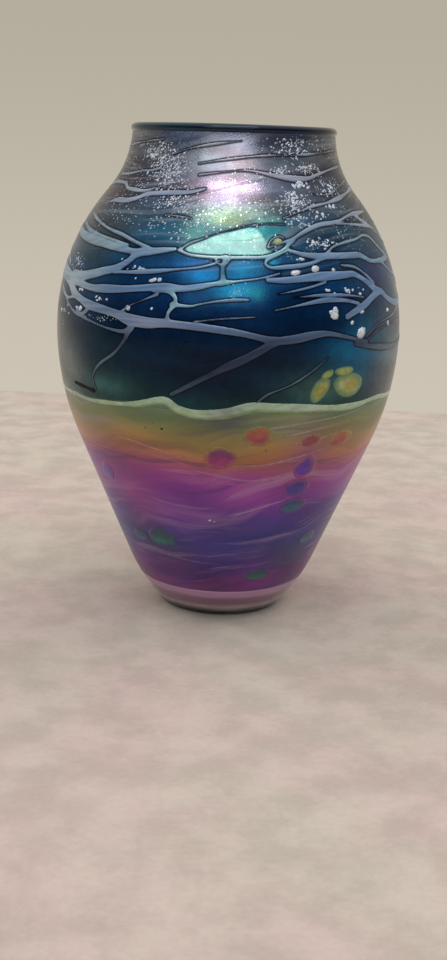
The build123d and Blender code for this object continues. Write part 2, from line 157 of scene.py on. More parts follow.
# The threads of the web: (azimuth, height, width) along each
web_routes = {
    "belly_trail_front": [
        (-76, 152, 5.6), (-66, 149.8, 5.6), (-61, 145.4, 4.2), (-55.3, 143.2, 3.4), (-49, 141.4, 3.8),
        (-41, 140.1, 3.4), (-36.4, 139.3, 3.6), (-32, 138, 4.6), (-25, 137.3, 4.5), (-19, 137.7, 3.7),
        (-8, 137.2, 3.1), (0, 136, 3), (6, 134.6, 2.8), (14, 132.2, 3),
    ],
    "left_rising_trail": [
        (-64, 151.8, 5.4), (-57, 152.4, 4.6), (-50, 154.1, 3.9), (-45.3, 155.7, 3.6), (-40, 157.3, 3.6),
        (-36, 160, 3), (-32, 163.6, 3), (-25, 165.2, 2.8), (-19, 166.2, 1.6),
    ],
    "left_middle_trail": [
        (-60, 149.6, 3), (-50, 148.4, 2.8), (-44, 148.7, 3.3), (-36, 149.4, 3.2), (-27.6, 150.7, 2.9),
        (-20, 151.7, 2.7), (-15, 151.4, 2.4), (-10, 152.3, 2.6), (-5, 153.7, 1.9), (0, 154.6, 1.3),
    ],
    "left_inner_trail": [
        (-40, 155.8, 1.6), (-33, 156.3, 1.6), (-27, 157.1, 1.6), (-22, 157.9, 1.6), (-16, 158.8, 1.4),
        (-10, 159.8, 1.2), (-5, 161.4, 1),
    ],
    "cell_loop_trail": [
        (-23.7, 150.2, 1.2), (-20.3, 150.4, 1.5), (-18, 149.6, 1.6), (-16.4, 147.3, 1.6),
        (-17, 144.7, 1.5), (-18.4, 142, 1.5), (-18.6, 139.2, 1.9),
    ],
    "shoulder_trail_left": [
        (-76, 169, 3), (-60, 167, 3.4), (-50, 166.3, 3.2), (-42, 165.1, 2.9), (-34, 164.2, 2.4),
        (-28, 164.8, 2.4),
    ],
    "shoulder_thread_left": [
        (-72, 177, 1.4), (-60, 174.2, 1.2), (-50, 171.8, 1.3), (-42, 170.2, 1.4), (-35, 168, 1.4),
        (-29, 166.2, 1.4),
    ],
    "neck_thread_left": [
        (-72, 190.4, 1.4), (-60, 190, 1.5), (-54.8, 188.2, 1.6), (-48, 187.7, 1.6), (-42, 187.6, 1.2),
        (-34, 189.4, 0.7),
    ],
    "lens_upper_trail": [
        (-17, 166.2, 1), (-14, 168.7, 0.9), (-10, 170.4, 0.8), (-5, 172.6, 0.7), (0, 174.1, 0.7),
        (5, 175.6, 0.7), (9, 176.2, 0.5),
    ],
    "lens_lower_trail": [
        (-17.4, 165.8, 1.1), (-13, 164.3, 1.3), (-5, 163.8, 1.3), (5, 164, 1.3), (11, 164.4, 1.3),
        (15.5, 166, 1.2), (19, 168, 1.2), (22, 170.6, 1.3),
    ],
    "middle_trail_low": [
        (-17.6, 145.2, 1.4), (-11.7, 145, 1.2), (-8.9, 145.9, 1.2), (-3.9, 147.2, 1.2), (1.5, 148, 1),
        (6, 148.2, 0.5),
    ],
    "middle_trail_high": [(-3, 154, 1.3), (3.3, 155.2, 1), (9, 156.2, 0.9), (16, 158.2, 0.8)],
    "right_fork_trail": [
        (12, 155.6, 1.6), (17, 155.7, 2.6), (23, 156.2, 2.9), (30, 157, 3.5), (40, 157.3, 3.3),
        (45, 157.3, 3), (50, 154.6, 2.5), (55.6, 150.4, 3), (59.5, 149.2, 2.8), (64, 146, 3),
        (72, 143.6, 3.2), (80, 144, 3),
    ],
    "right_stub_trail": [
        (56.5, 149.4, 3), (52, 147.3, 3), (47.8, 144.9, 3.1), (43.3, 142.8, 3), (39.6, 141, 2.8),
    ],
    "right_cell_trail": [
        (14, 144.2, 0.6), (24, 146.6, 1.2), (31, 147.7, 1.5), (36, 147.6, 1.5), (41, 146.9, 1.6),
        (45, 145.8, 1.6),
    ],
    "right_upper_trail": [
        (20, 167, 1.4), (25, 165.4, 1.9), (31, 164.7, 2.6), (38, 164.7, 3), (46, 164.7, 2.6),
        (51, 164.4, 2.2), (56, 162.2, 2), (62, 161.6, 2), (72, 162, 2),
    ],
    "shoulder_thread_right_low": [
        (35, 166, 1.2), (38.5, 168.2, 1.3), (45, 169.7, 1.3), (52, 170.8, 1.4), (57.5, 171.9, 1.6),
        (62.5, 171, 1.7), (67, 167.4, 1.9), (74, 162.6, 1.9),
    ],
    "shoulder_thread_right_high": [
        (20.5, 170, 1.3), (25, 172.8, 1.6), (31, 175.5, 1.8), (36, 176.8, 1.8), (42, 177.3, 1.8),
        (47, 178.2, 1.4), (53, 179.7, 1.4), (61, 180.6, 1.3), (72, 181, 1.2),
    ],
    "neck_thread_right": [
        (20, 179, 0.8), (26, 181, 1), (35, 183.6, 1.1), (45, 185, 1.2), (52, 186.2, 1.4),
        (60, 187.7, 1.3), (74, 189.8, 1.2),
    ],
    "diagonal_trail": [
        (14, 131.8, 3.2), (7, 126.4, 3.3), (0, 121.8, 2.8), (-8, 116.2, 2.4), (-17, 109.5, 1.6),
    ],
    "fine_thread_left": [
        (-31, 134.5, 2), (-33, 129.5, 1.7), (-37, 123.6, 1.4), (-43.5, 118, 1.3), (-47.4, 112, 1.2),
        (-46.6, 107, 1.2),
    ],
    "fine_thread_right": [
        (32, 125, 0.5), (27.5, 120.5, 0.7), (20, 114.6, 0.7), (13, 111, 0.7), (9.6, 107.6, 0.8),
    ],
    "belly_trail_right": [
        (43, 129.7, 1.4), (50, 128, 1.9), (60, 126.4, 2.6), (70, 125.7, 2.8), (84, 127, 3),
        (97, 132, 3.2), (108, 138, 2.4),
    ],
    "belly_trail_back_right": [
        (76, 143.6, 3), (90, 145, 3.6), (106, 148, 4.4), (122, 153, 3.6), (138, 156, 3.4), (152, 152, 4),
    ],
    "belly_trail_back_left": [
        (154, 152, 4), (172, 144, 4.8), (190, 140, 4), (208, 142, 4.6), (226, 149, 3.8), (242, 155, 4.4),
    ],
    "belly_trail_left": [
        (240, 155, 4.4), (252, 158, 3.8), (264, 157.5, 3.6), (276, 154.5, 4.4), (286, 151.6, 5.6),
    ],
    "shoulder_trail_back": [
        (110, 166, 1.6), (126, 171, 2.2), (144, 174, 2.6), (162, 171, 2), (180, 165, 2.2),
        (196, 163, 2.2),
    ],
    "shoulder_trail_back_left": [
        (200, 163, 2.2), (218, 168, 2), (236, 174, 2.4), (254, 176, 2.2), (272, 171, 2.6),
        (286, 168.8, 3),
    ],
    "diagonal_trail_back": [
        (212, 142, 3), (204, 134, 2.8), (194, 126, 2.6), (182, 119, 2.2), (170, 112, 1.4),
    ],
}

# Fine threads with no node of their own, fused into the web above
fine_routes = [
    [(-34.4, 141, 1), (-32, 143.3, 0.9), (-27.5, 145.9, 0.9), (-22.6, 148.6, 1)],
    [(-72, 193.4, 1.1), (-60, 194, 1.2), (-50, 195.3, 1.2), (-44, 195.5, 1), (-38, 196.6, 0.6)],
    [(13, 132, 3), (20, 132.8, 3.6), (26, 134.2, 3.4), (32, 134.6, 2.4), (40, 132.6, 1.8), (48, 130, 1.4)],
    [(-1.6, 163.8, 1.6), (-2.3, 159.6, 1.5), (-2, 155.2, 2)],
    [(-4.8, 163.4, 0.7), (-4, 161.7, 0.7), (-2.4, 161, 0.7), (-0.8, 161.9, 0.7), (-0.2, 163.4, 0.7)],
    [(19, 166.6, 1), (15, 164.7, 1), (12.2, 163.2, 1), (11.6, 161.6, 1.1), (13.5, 160.4, 1.2),
     (18, 160.7, 1.7), (24, 161.3, 1.9), (29, 162.4, 1.6), (33, 164, 1.2)],
    [(13, 167.8, 0.8), (16.6, 169.3, 0.8), (20.5, 170.6, 1)],
    [(12.6, 168, 0.7), (14, 170.6, 0.7), (16.8, 172.2, 0.7), (18.6, 171.6, 0.8)],
    [(8, 176.2, 0.5), (14, 176.8, 0.5), (20, 176.6, 0.5)],
    [(40, 161, 1.1), (46, 160, 1.4), (51, 157, 1.4), (55, 153.4, 1.4)],
    [(15, 150.3, 0.7), (21, 151.7, 1.1), (27, 153.2, 1.2), (32, 154.6, 0.9)],
    [(20, 149, 0.5), (30, 149.9, 0.8), (40, 149.4, 0.9), (48, 148, 1)],
    [(8, 141.6, 0.5), (-2, 140.6, 0.8), (-10, 139.2, 0.9)],
    [(48, 132, 0.6), (52, 135, 0.8), (57, 137.3, 0.9), (66, 138.8, 0.9), (74, 141.6, 1.2)],
    [(49, 130.6, 0.5), (55, 134, 0.6), (62, 135.4, 0.7), (72, 136, 0.8)],
    [(-57, 139, 1), (-53.5, 136.4, 1.3), (-46, 134.6, 1.4), (-40, 133.4, 1.4), (-34, 132.9, 1.6),
     (-30.5, 134.6, 2)],
    [(-66, 141.6, 1.2), (-60, 138, 1.1), (-55, 136.6, 1.2), (-51, 138.6, 1.4), (-49.6, 141, 1.2)],
    [(-74, 146, 2.4), (-67, 142.6, 1.6), (-62, 142.8, 1.4), (-58, 144.2, 1.2)],
    [(-62, 182.2, 1.2), (-56, 183.3, 2.4), (-50, 183.3, 2), (-44, 184.4, 1.9), (-39, 186.2, 2),
     (-32, 187, 2.3), (-25, 187.4, 2.2), (-18, 187.9, 1.6), (-12, 189.4, 0.8)],
    [(-76, 173, 1.6), (-66, 170.8, 1.3), (-56, 169.3, 1.2), (-46, 168, 1.2), (-38, 166.4, 1.2)],
    [(-26, 178.8, 0.5), (-21, 178.6, 0.7), (-15, 178, 0.5)],
    [(-70, 206, 0.7), (-56, 207, 0.9), (-40, 208.2, 0.7)],
    [(-32, 202.6, 0.7), (-22, 205, 0.8), (-10, 206.8, 0.9), (4, 208.2, 0.7)],
    [(-17, 199, 0.7), (-4, 200.8, 0.9), (8, 202.2, 0.9), (20, 203, 0.8), (36, 203.4, 0.8),
     (54, 204.6, 0.8), (74, 206, 0.8)],
    [(-16, 194.6, 0.9), (-4, 196, 1), (8, 196.8, 1), (18, 195.4, 1.4), (26, 194.5, 2.3), (34, 194.1, 2.4),
     (40, 194.5, 1.8), (48, 196.2, 1.2), (58, 197.8, 1), (74, 199.4, 0.9)],
    [(38, 188.2, 0.6), (44, 187.8, 0.8), (50, 188.6, 0.7), (60, 191, 0.8), (74, 193.6, 0.8)],
    [(44, 177, 1.2), (52, 176.5, 1.1), (60, 175.8, 1), (74, 174.2, 1)],
    [(58.6, 180, 1.2), (62.4, 177.8, 1.6), (66, 176.6, 1.5), (71, 173.6, 1.5), (79, 168.6, 1.3)],
    [(64, 161.8, 1.6), (72, 157, 1.5), (82, 153, 1.6), (92, 146.6, 1.6)],
    [(79, 168.6, 1.2), (96, 166, 1.6), (112, 162, 1.3), (128, 158, 1.2), (140, 156, 1.2)],
    [(88, 176, 0.9), (104, 180, 1), (122, 184, 1.1), (142, 187, 0.9), (160, 188, 0.6)],
    [(74, 190, 1.2), (92, 191, 1.1), (112, 194, 1.2), (134, 198, 1), (156, 200, 0.8)],
    [(98, 146, 1.2), (108, 140, 1.2), (120, 137, 1.4), (134, 138, 1.2), (146, 143, 1.1), (156, 150, 1.2)],
    [(150, 152, 1.4), (160, 157, 1.2), (172, 159, 1.3), (186, 157, 1.1), (200, 150, 1.2), (210, 143, 1.3)],
    [(168, 145, 1), (176, 150, 0.9), (186, 151, 1), (196, 146, 1)],
    [(224, 148, 1.2), (232, 142, 1.1), (244, 139, 1.3), (258, 141, 1.1), (270, 147, 1.2), (278, 154, 1.3)],
    [(208, 190, 0.7), (226, 186, 1), (244, 184, 1), (262, 186, 1.1), (288, 190.4, 1.4)],
    [(200, 200, 0.7), (220, 203, 0.9), (244, 204, 0.8), (268, 204.6, 0.8), (290, 206, 0.8)],
    [(236, 166, 0.8), (250, 168, 1), (264, 166, 1.1), (276, 162, 1.1), (288, 156, 1.6)],
    [(120, 137, 1), (116, 128, 0.8), (110, 120, 0.8), (102, 113, 0.8), (97, 107, 0.7)],
    [(244, 139, 1), (248, 130, 0.9), (255, 122, 0.8), (264, 114, 0.8), (270, 107, 0.8)],
]

# The wavy line where the dark upper colour ends: (azimuth, height)
horizon_points = [
    (-60, 103), (-50, 102.2), (-40, 103.2), (-30, 104.6), (-20, 107.4), (-15, 104.2), (-9, 102.6),
    (0, 103.8), (8, 106.4), (16, 106), (30, 105), (45, 104.2), (60, 105.4), (80, 104), (100, 106),
    (120, 104.6), (140, 102.8), (158, 105), (175, 107), (190, 104), (210, 102.6), (230, 105.4),
    (250, 106.6), (270, 104), (286, 102.6), (300, 103),
]
ribbon_widths = (1.8, 4.2)

# Pale strands in the lower glass: (azimuth, height, width)
strand_routes = {
    "pale_strand_high": [(-14, 77, 0.5), (-4, 75, 0.9), (8, 72.5, 0.8), (20, 73, 0.9), (26, 75, 0.4)],
    "pale_strand_low": [(0, 54.5, 0.5), (10, 57, 0.9), (18, 60, 0.8), (25, 61.5, 0.4)],
    "blue_strand": [(-44, 33, 0.4), (-30, 32, 0.8), (-12, 30.5, 0.7), (2, 29.8, 0.4)],
    "pale_strand_back": [(150, 66, 0.5), (164, 63, 0.9), (180, 60, 0.8), (196, 62, 0.9), (208, 66, 0.4)],
}

# More pale wisps in the olive, amber and magenta, drawn with one of the strands above
extra_wisps = {
    "pale_strand_high": [
        [(6, 95, 0.5), (16, 96.5, 0.9), (28, 98.2, 0.8), (40, 99.5, 0.9), (52, 101.5, 0.5)],
        [(14, 91.5, 0.4), (26, 93.6, 0.8), (38, 95.8, 0.7), (48, 97, 0.4)],
        [(20, 88, 0.4), (34, 90.6, 0.7), (50, 93.5, 0.5)],
        [(-44, 89, 0.4), (-32, 86.6, 0.8), (-20, 83.6, 0.8), (-8, 80.6, 0.5)],
        [(-38, 84, 0.4), (-26, 82, 0.7), (-12, 78.6, 0.5)],
        [(4, 79, 0.4), (16, 80, 0.9), (28, 83, 0.8), (42, 86.5, 0.5)],
    ],
    "blue_strand": [
        [(-36, 50, 0.3), (-20, 48, 0.6), (-4, 46.5, 0.5), (14, 47.5, 0.3)],
        [(-10, 41, 0.3), (6, 41.5, 0.6), (22, 43.5, 0.5), (36, 46, 0.3)],
    ],
}


def shifted_strand(route, turn, lift, share):
    """A strand beside another: turned, lifted and thinner."""
    return [(azimuth + turn, z + lift, width * share) for azimuth, z, width in route]


def grid_field(routes, azimuths, heights, melt):
    """Distance in millimetres from the edge of threads that melt together, negative inside them."""
    radius = wall_radius(heights)[:, None]
    total = np.zeros((len(heights), len(azimuths)))
    reach = 9.0
    for route in routes:
        points = curve_through(route, 5)
        low, high = np.searchsorted(heights, [points[:, 1].min() - reach, points[:, 1].max() + reach])
        field = np.full((high - low, len(azimuths)), reach)
        for start, end in zip(points, points[1:]):
            rows = slice(*(np.searchsorted(heights[low:high], [min(start[1], end[1]) - reach,
                                                               max(start[1], end[1]) + reach])))
            middle = (start[0] + end[0]) / 2
            half = abs(end[0] - start[0]) / 2 + math.degrees(reach / 42)
            columns = np.nonzero(np.abs(turn_gap(azimuths, middle)) < half)[0]
            here = radius[low:high][rows]
            across = np.radians(turn_gap(azimuths[columns], start[0]))[None] * here
            up = (heights[low:high][rows] - start[1])[:, None]
            run_across = math.radians(end[0] - start[0]) * here
            run_up = end[1] - start[1]
            along = np.clip((across * run_across + up * run_up) / (run_across**2 + run_up**2 + 1e-9), 0, 1)
            gap = np.hypot(across - along * run_across, up - along * run_up)
            gap -= (start[2] + (end[2] - start[2]) * along) / 2
            block = field[rows]
            block[:, columns] = np.minimum(block[:, columns], gap)
            field[rows] = block
        total[low:high] += np.exp(-field / melt)
    return np.minimum(-melt * np.log(total + 1e-9), reach)


def grid_sample(field, azimuths, heights, azimuth, z):
    """Values of a grid field at other places, smoothly between its points."""
    column = (np.asarray(azimuth) - azimuths[0]) / (azimuths[1] - azimuths[0]) % len(azimuths)
    row = np.clip((np.asarray(z) - heights[0]) / (heights[1] - heights[0]), 0, len(heights) - 1.001)
    c0, r0 = np.floor(column).astype(int), np.floor(row).astype(int)
    c1, fc, fr = (c0 + 1) % len(azimuths), column - c0, row - r0
    c0 = c0 % len(azimuths)
    low = field[r0, c0] * (1 - fc) + field[r0, c1] * fc
    high = field[r0 + 1, c0] * (1 - fc) + field[r0 + 1, c1] * fc
    return low * (1 - fr) + high * fr


grid_azimuths = np.arange(1080) / 3.0 - 180
grid_heights = np.arange(99.0, 211.0, 0.42)
web_grid = grid_field(list(web_routes.values()) + fine_routes, grid_azimuths, grid_heights, 0.45)
web_grid += 0.22 * ripple(grid_azimuths[None], grid_heights[:, None], 9, 5)

horizon_curve = curve_through(horizon_points, 8)


def horizon_at(azimuth):
    """Height of the wavy colour change at an azimuth."""
    turned = (np.asarray(azimuth) + 60) % 360 - 60
    return np.interp(turned, horizon_curve[:, 0], horizon_curve[:, 1])


# ---------------------------------------------------------------- colour of the glass

def by_height(z, stops):
    """Colour that changes with height through (height, red, green, blue) stops, given from the top down."""
    table = np.array(stops)[::-1]
    return np.stack([np.interp(z, table[:, 0], table[:, k]) for k in (1, 2, 3)], -1)


upper_stops = [
    (212, 0.17, 0.19, 0.24), (204, 0.13, 0.14, 0.19), (196, 0.07, 0.075, 0.13), (186, 0.06, 0.08, 0.13),
    (178, 0.04, 0.1, 0.17), (170, 0.022, 0.11, 0.2), (162, 0.012, 0.1, 0.24), (154, 0.008, 0.095, 0.25),
    (146, 0.006, 0.06, 0.17), (138, 0.004, 0.035, 0.1), (126, 0.003, 0.02, 0.055),
    (114, 0.004, 0.026, 0.05), (106, 0.012, 0.05, 0.06),
]
lower_stops = [
    (107, 0.17, 0.25, 0.15), (101, 0.16, 0.24, 0.09), (96, 0.24, 0.25, 0.07), (90, 0.4, 0.25, 0.06),
    (84, 0.46, 0.17, 0.06), (80, 0.42, 0.1, 0.13), (75, 0.36, 0.045, 0.25), (67, 0.26, 0.022, 0.3),
    (58, 0.15, 0.016, 0.29), (50, 0.06, 0.022, 0.26), (38, 0.03, 0.025, 0.21), (28, 0.08, 0.015, 0.2),
    (22, 0.17, 0.012, 0.19), (15, 0.2, 0.03, 0.2),
]

# Soft patches of another tone: azimuth, height, reach across, reach up, colour, strength
upper_tints_and_painted_highlight = [
    (-58, 190, 14, 9, (0.05, 0.035, 0.09), 0.85), (-50, 171, 14, 8, (0.07, 0.12, 0.16), 0.7),
    (-52, 160, 12, 5, (0.02, 0.07, 0.12), 0.8), (-66, 180, 8, 10, (0.14, 0.1, 0.17), 0.7),
    # From the (-8, 204) patch to the (14, 174) patch: painted highlight on the front of the neck and
    # shoulder, silver and pink where the lamp's reflection falls, then its yellow-green and turquoise
    # fringe.
    (-24, 174, 10, 7, (0.02, 0.13, 0.22), 0.7), (-8, 204, 20, 9, (0.62, 0.63, 0.66), 0.95),
    (3, 203, 8, 9, (0.95, 0.78, 0.86), 0.9), (-2, 188, 13, 6, (0.74, 0.52, 0.7), 0.95),
    (-2, 179, 13, 4.5, (0.22, 0.34, 0.17), 0.95), (12, 180, 9, 6, (0.16, 0.27, 0.2), 0.8),
    (-13, 172, 6, 6, (0.1, 0.3, 0.26), 0.8), (14, 174, 7, 4, (0.02, 0.3, 0.34), 0.8),
    (30, 186, 16, 7, (0.1, 0.13, 0.17), 0.7), (24, 204, 18, 8, (0.24, 0.26, 0.29), 0.7),
    (38, 170, 16, 8, (0.01, 0.065, 0.15), 0.8), (50, 174, 12, 8, (0.012, 0.085, 0.16), 0.6),
    (-62, 114, 14, 11, (0.17, 0.25, 0.25), 0.85), (-40, 109, 14, 6, (0.05, 0.15, 0.15), 0.8),
    (-44, 126, 14, 7, (0.004, 0.045, 0.07), 0.7), (0, 118, 20, 11, (0.002, 0.012, 0.035), 0.8),
    (36, 138, 5.5, 5, (0.003, 0.006, 0.04), 0.95), (58, 158, 10, 7, (0.05, 0.05, 0.2), 0.85),
    (46, 128, 18, 11, (0.01, 0.22, 0.44), 0.85), (60, 138, 12, 8, (0.04, 0.08, 0.18), 0.7),
    (32, 112, 17, 7, (0.07, 0.18, 0.17), 0.85), (64, 120, 14, 14, (0.13, 0.21, 0.26), 0.8),
    # These front cells are partly their own blue and partly the painted cyan fringe of the highlight; the
    # (16, 170) patch paints its yellow-green.
    (1, 151, 7, 3.6, (0.02, 0.44, 0.7), 0.9), (8, 151, 4, 2.6, (0.03, 0.4, 0.46), 0.8),
    (-9, 156.5, 6, 3, (0.01, 0.28, 0.62), 0.8), (5, 159.5, 6, 3.2, (0.01, 0.34, 0.62), 0.85),
    (-14, 161, 8, 2.4, (0.01, 0.16, 0.44), 0.7), (-10, 147, 8, 4, (0.008, 0.12, 0.3), 0.6),
    (14, 162.4, 2.6, 1.6, (0.02, 0.42, 0.72), 0.9), (16, 170, 3, 1.4, (0.55, 0.64, 0.32), 0.95),
    (120, 176, 18, 8, (0.1, 0.32, 0.28), 0.7), (200, 190, 18, 8, (0.34, 0.22, 0.36), 0.7),
    (150, 204, 24, 9, (0.36, 0.38, 0.42), 0.8), (168, 154, 14, 6, (0.012, 0.3, 0.5), 0.7),
    (246, 160, 16, 7, (0.05, 0.08, 0.24), 0.6), (140, 122, 20, 10, (0.01, 0.05, 0.08), 0.6),
    (262, 120, 18, 10, (0.02, 0.08, 0.1), 0.6), (186, 176, 12, 5, (0.3, 0.4, 0.16), 0.7),
]
lower_patches = [
    (0, 99, 9, 5, (0.1, 0.11, 0.1), 0.8), (-52, 97, 16, 9, (0.22, 0.26, 0.13), 0.7),
    (24, 96, 12, 5, (0.34, 0.33, 0.2), 0.6), (30, 82, 10, 10, (0.3, 0.06, 0.26), 0.5),
    (8, 66, 14, 8, (0.38, 0.07, 0.34), 0.6), (-14, 58, 12, 12, (0.16, 0.03, 0.26), 0.5),
    (-40, 62, 14, 14, (0.34, 0.06, 0.22), 0.6), (-30, 24, 18, 8, (0.15, 0.03, 0.16), 0.6),
    (40, 32, 14, 8, (0.04, 0.06, 0.14), 0.6), (-36, 40, 14, 7, (0.04, 0.05, 0.13), 0.6),
    (10, 47, 22, 7, (0.06, 0.035, 0.22), 0.6), (120, 70, 20, 12, (0.36, 0.06, 0.26), 0.6),
    (180, 44, 24, 12, (0.05, 0.03, 0.2), 0.6), (240, 92, 18, 7, (0.44, 0.22, 0.07), 0.6),
]


def add_patches(tone, azimuth, z, patches):
    radius = wall_radius(z)
    for centre, level, across, up, colour, strength in patches:
        gap = np.radians(turn_gap(azimuth, centre)) * radius / across
        weight = strength * np.exp(-(gap**2) - ((z - level) / up) ** 2)
        tone = tone + (np.array(colour) - tone) * weight[..., None]
    return tone


lens_roof = [
    (-17, 165.6), (-14, 168.6), (-10, 170.4), (-5, 172.6), (0, 174.1), (5, 175.6), (8, 176), (10, 174.4),
    (12, 171), (13.4, 167.6), (15, 165.4),
]


def lens_share(azimuth, z):
    """1 inside the turquoise lens cell between its two threads, 0 outside. Its pale fill is partly the
    cell's own colour and partly a painted glow of the highlight.
    """
    floor, roof = [curve_through(points, 6) for points in (web_routes["lens_lower_trail"], lens_roof)]
    gap = turn_gap(azimuth, 0)
    bottom = np.interp(gap, floor[:, 0], floor[:, 1], left=999, right=999)
    top = np.interp(gap, roof[:, 0], roof[:, 1], left=0, right=0)
    return smooth_step(np.minimum(z - bottom, top - z), 0.2, 1.0)


def glass_tone(azimuth, z):
    """Colour, metal share, roughness and veil of silver of the coloured glass. At the front of the neck and
    shoulder the colour carries a painted highlight with its iridescent fringe, and the veil is raised by a
    painted glow.
    """
    warp = 2.4 * ripple(azimuth, z, 26, 11) + 1.0 * ripple(azimuth, z, 11, 12)
    upper = by_height(z + 1.6 * ripple(azimuth, z, 22, 14), upper_stops)
    # The front patches among these paint the highlight and its fringe into the colour.
    upper = add_patches(upper, azimuth, z, upper_tints_and_painted_highlight)
    cells = ripple(azimuth, z, 12, 21)
    upper = upper * (1 + 0.25 * cells[..., None] * np.array([0.5, 0.9, 1.0]))
    lens = lens_share(azimuth, z)[..., None]
    # Pale turquoise of the lens cell: partly its own colour, partly the painted glow of the highlight,
    # brightest in its lower part.
    lens_tint_and_painted_glow = by_height(z, [(176, 0.10, 0.46, 0.50), (172, 0.40, 0.72, 0.62), (164, 0.34, 0.72, 0.66)])
    upper = upper + (lens_tint_and_painted_glow - upper) * lens
    lower = add_patches(by_height(z + warp, lower_stops), azimuth, z, lower_patches)
    lower = lower * (1 + 0.16 * ripple(azimuth, z, 16, 31)[..., None])
    share = smooth_step(z - horizon_at(azimuth), -0.5, 0.5)
    tone = lower + (upper - lower) * share[..., None]
    metal = 0.04 + 0.86 * share
    rough = 0.32 - 0.06 * share + 0.04 * ripple(azimuth, z, 14, 41) * share
    veil = share * (smooth_step(z, 145, 188) * 0.98 + 0.02)
    veil = veil * np.clip(0.62 + 0.6 * ripple(azimuth, z, 15, 51), 0.05, 1)
    # Painted highlight: the veil of silver is raised round the front of the shoulder, where the lamps'
    # reflection falls.
    glow = np.exp(-((turn_gap(azimuth, 0) / 20) ** 2) - ((z - 176) / 12) ** 2)
    return np.clip(tone, 0, 1), metal, np.clip(rough, 0.12, 0.6), np.clip(veil + 0.5 * share * glow, 0, 1)


def flow_vector(azimuth, z):
    """Coordinates in metres whose level lines climb to the right across the front, for streaks."""
    angle = np.radians(azimuth)
    climb = 9.0 * np.sin(angle) + 2.0 * ripple(azimuth, z, 30, 61)
    return np.stack([60 * np.sin(angle), -60 * np.cos(angle), z - climb], -1) * mm


# ---------------------------------------------------------------- meshes

def make_object(name, points, faces, attributes=None, smooth=True):
    """Mesh object from points in millimetres. Attributes are arrays, one row a point."""
    mesh = bpy.data.meshes.new(name)
    mesh.from_pydata((np.asarray(points) * mm).tolist(), [], [list(face) for face in faces])
    mesh.polygons.foreach_set("use_smooth", [smooth] * len(mesh.polygons))
    for label, values in (attributes or {}).items():
        values = np.asarray(values, np.float32)
        if values.ndim == 1:
            mesh.attributes.new(label, "FLOAT", "POINT").data.foreach_set("value", values)
        elif label == "flow":
            mesh.attributes.new(label, "FLOAT_VECTOR", "POINT").data.foreach_set("vector", values.ravel())
        else:
            rgba = np.column_stack([values, np.ones(len(values), np.float32)])
            mesh.attributes.new(label, "FLOAT_COLOR", "POINT").data.foreach_set("color", rgba.ravel())
    mesh.update()
    piece = bpy.data.objects.new(name, mesh)
    bpy.context.scene.collection.objects.link(piece)
    return piece


def finish_piece(piece, material, slot, *nodes):
    piece.data.materials.append(material)
    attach(piece, "root")
    if nodes:
        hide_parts(*nodes)
    return piece


def ring_quads(rows, columns, closed):
    """Faces of a lathe grid: rows of points up the outside, columns round the axis."""
    row = np.arange(rows if closed else rows - 1)[:, None]
    column = np.arange(columns)[None]
    after_row, after_column = (row + 1) % rows, (column + 1) % columns
    corners = [row * columns + column, row * columns + after_column,
               after_row * columns + after_column, after_row * columns + column]
    return np.stack(corners, -1).reshape(-1, 4)


def lathe(outline, columns, closed=True):
    """Points, faces, azimuths and heights of a turned form from (radius, height) pairs."""
    outline = np.asarray(outline, float)
    azimuths = np.arange(columns) * 360 / columns - 180
    angle = np.radians(azimuths)[None]
    radius = outline[:, 0][:, None]
    points = np.stack(np.broadcast_arrays(radius * np.sin(angle), -radius * np.cos(angle),
                                          outline[:, 1][:, None]), -1).reshape(-1, 3)
    faces = ring_quads(len(outline), columns, closed).tolist()
    if not closed:
        last = (len(outline) - 1) * columns
        faces.append(list(range(columns))[::-1])
        faces.append([last + k for k in range(columns)])
    return points, faces, np.tile(azimuths, len(outline)), np.repeat(outline[:, 1], columns)


def tone_attributes(azimuth, z):
    tone, metal, rough, veil = glass_tone(azimuth, z)
    edge = grid_sample(web_grid, grid_azimuths, grid_heights, azimuth, z)
    return {"tone": tone, "metal": metal, "rough": rough, "veil": veil, "flow": flow_vector(azimuth, z),
            "edge": np.clip(edge, -2, 6)}


def region_faces(field):
    """Triangles that fill the part of a periodic grid where the field is negative.

    Returns triangles of point numbers, and for each number the two grid points it lies between,
    which are the same point where it lies on the grid."""
    rows, columns = field.shape
    flat = field.ravel()
    row = np.arange(rows - 1)[:, None]
    column = np.arange(columns)[None]
    a = row * columns + column
    b = row * columns + (column + 1) % columns
    c = (row + 1) * columns + (column + 1) % columns
    d = (row + 1) * columns + column
    halves = [np.stack(corners, -1).reshape(-1, 3) for corners in ([a, b, c], [a, c, d])]
    triangles = np.concatenate(halves)
    inside = flat[triangles] < 0
    count = inside.sum(1)
    pairs = [np.stack([triangles[count == 3]] * 2, -1)]
    for k in range(3):
        first, second, third = (triangles[:, (k + j) % 3] for j in range(3))
        alone = (count == 1) & inside[:, k]
        pairs.append(np.stack([
            np.stack([first, first], -1)[alone],
            np.stack([first, second], -1)[alone],
            np.stack([first, third], -1)[alone]], 1))
        out = (count == 2) & ~inside[:, k]
        corner_b, corner_c = np.stack([second, second], -1)[out], np.stack([third, third], -1)[out]
        cut_b, cut_c = np.stack([second, first], -1)[out], np.stack([third, first], -1)[out]
        pairs.append(np.stack([corner_b, corner_c, cut_c], 1))
        pairs.append(np.stack([corner_b, cut_c, cut_b], 1))
    pairs = np.concatenate(pairs)
    keys = pairs[..., 0].astype(np.int64) * flat.size + pairs[..., 1]
    unique, numbers = np.unique(keys, return_inverse=True)
    return numbers.reshape(-1, 3), unique // flat.size, unique % flat.size


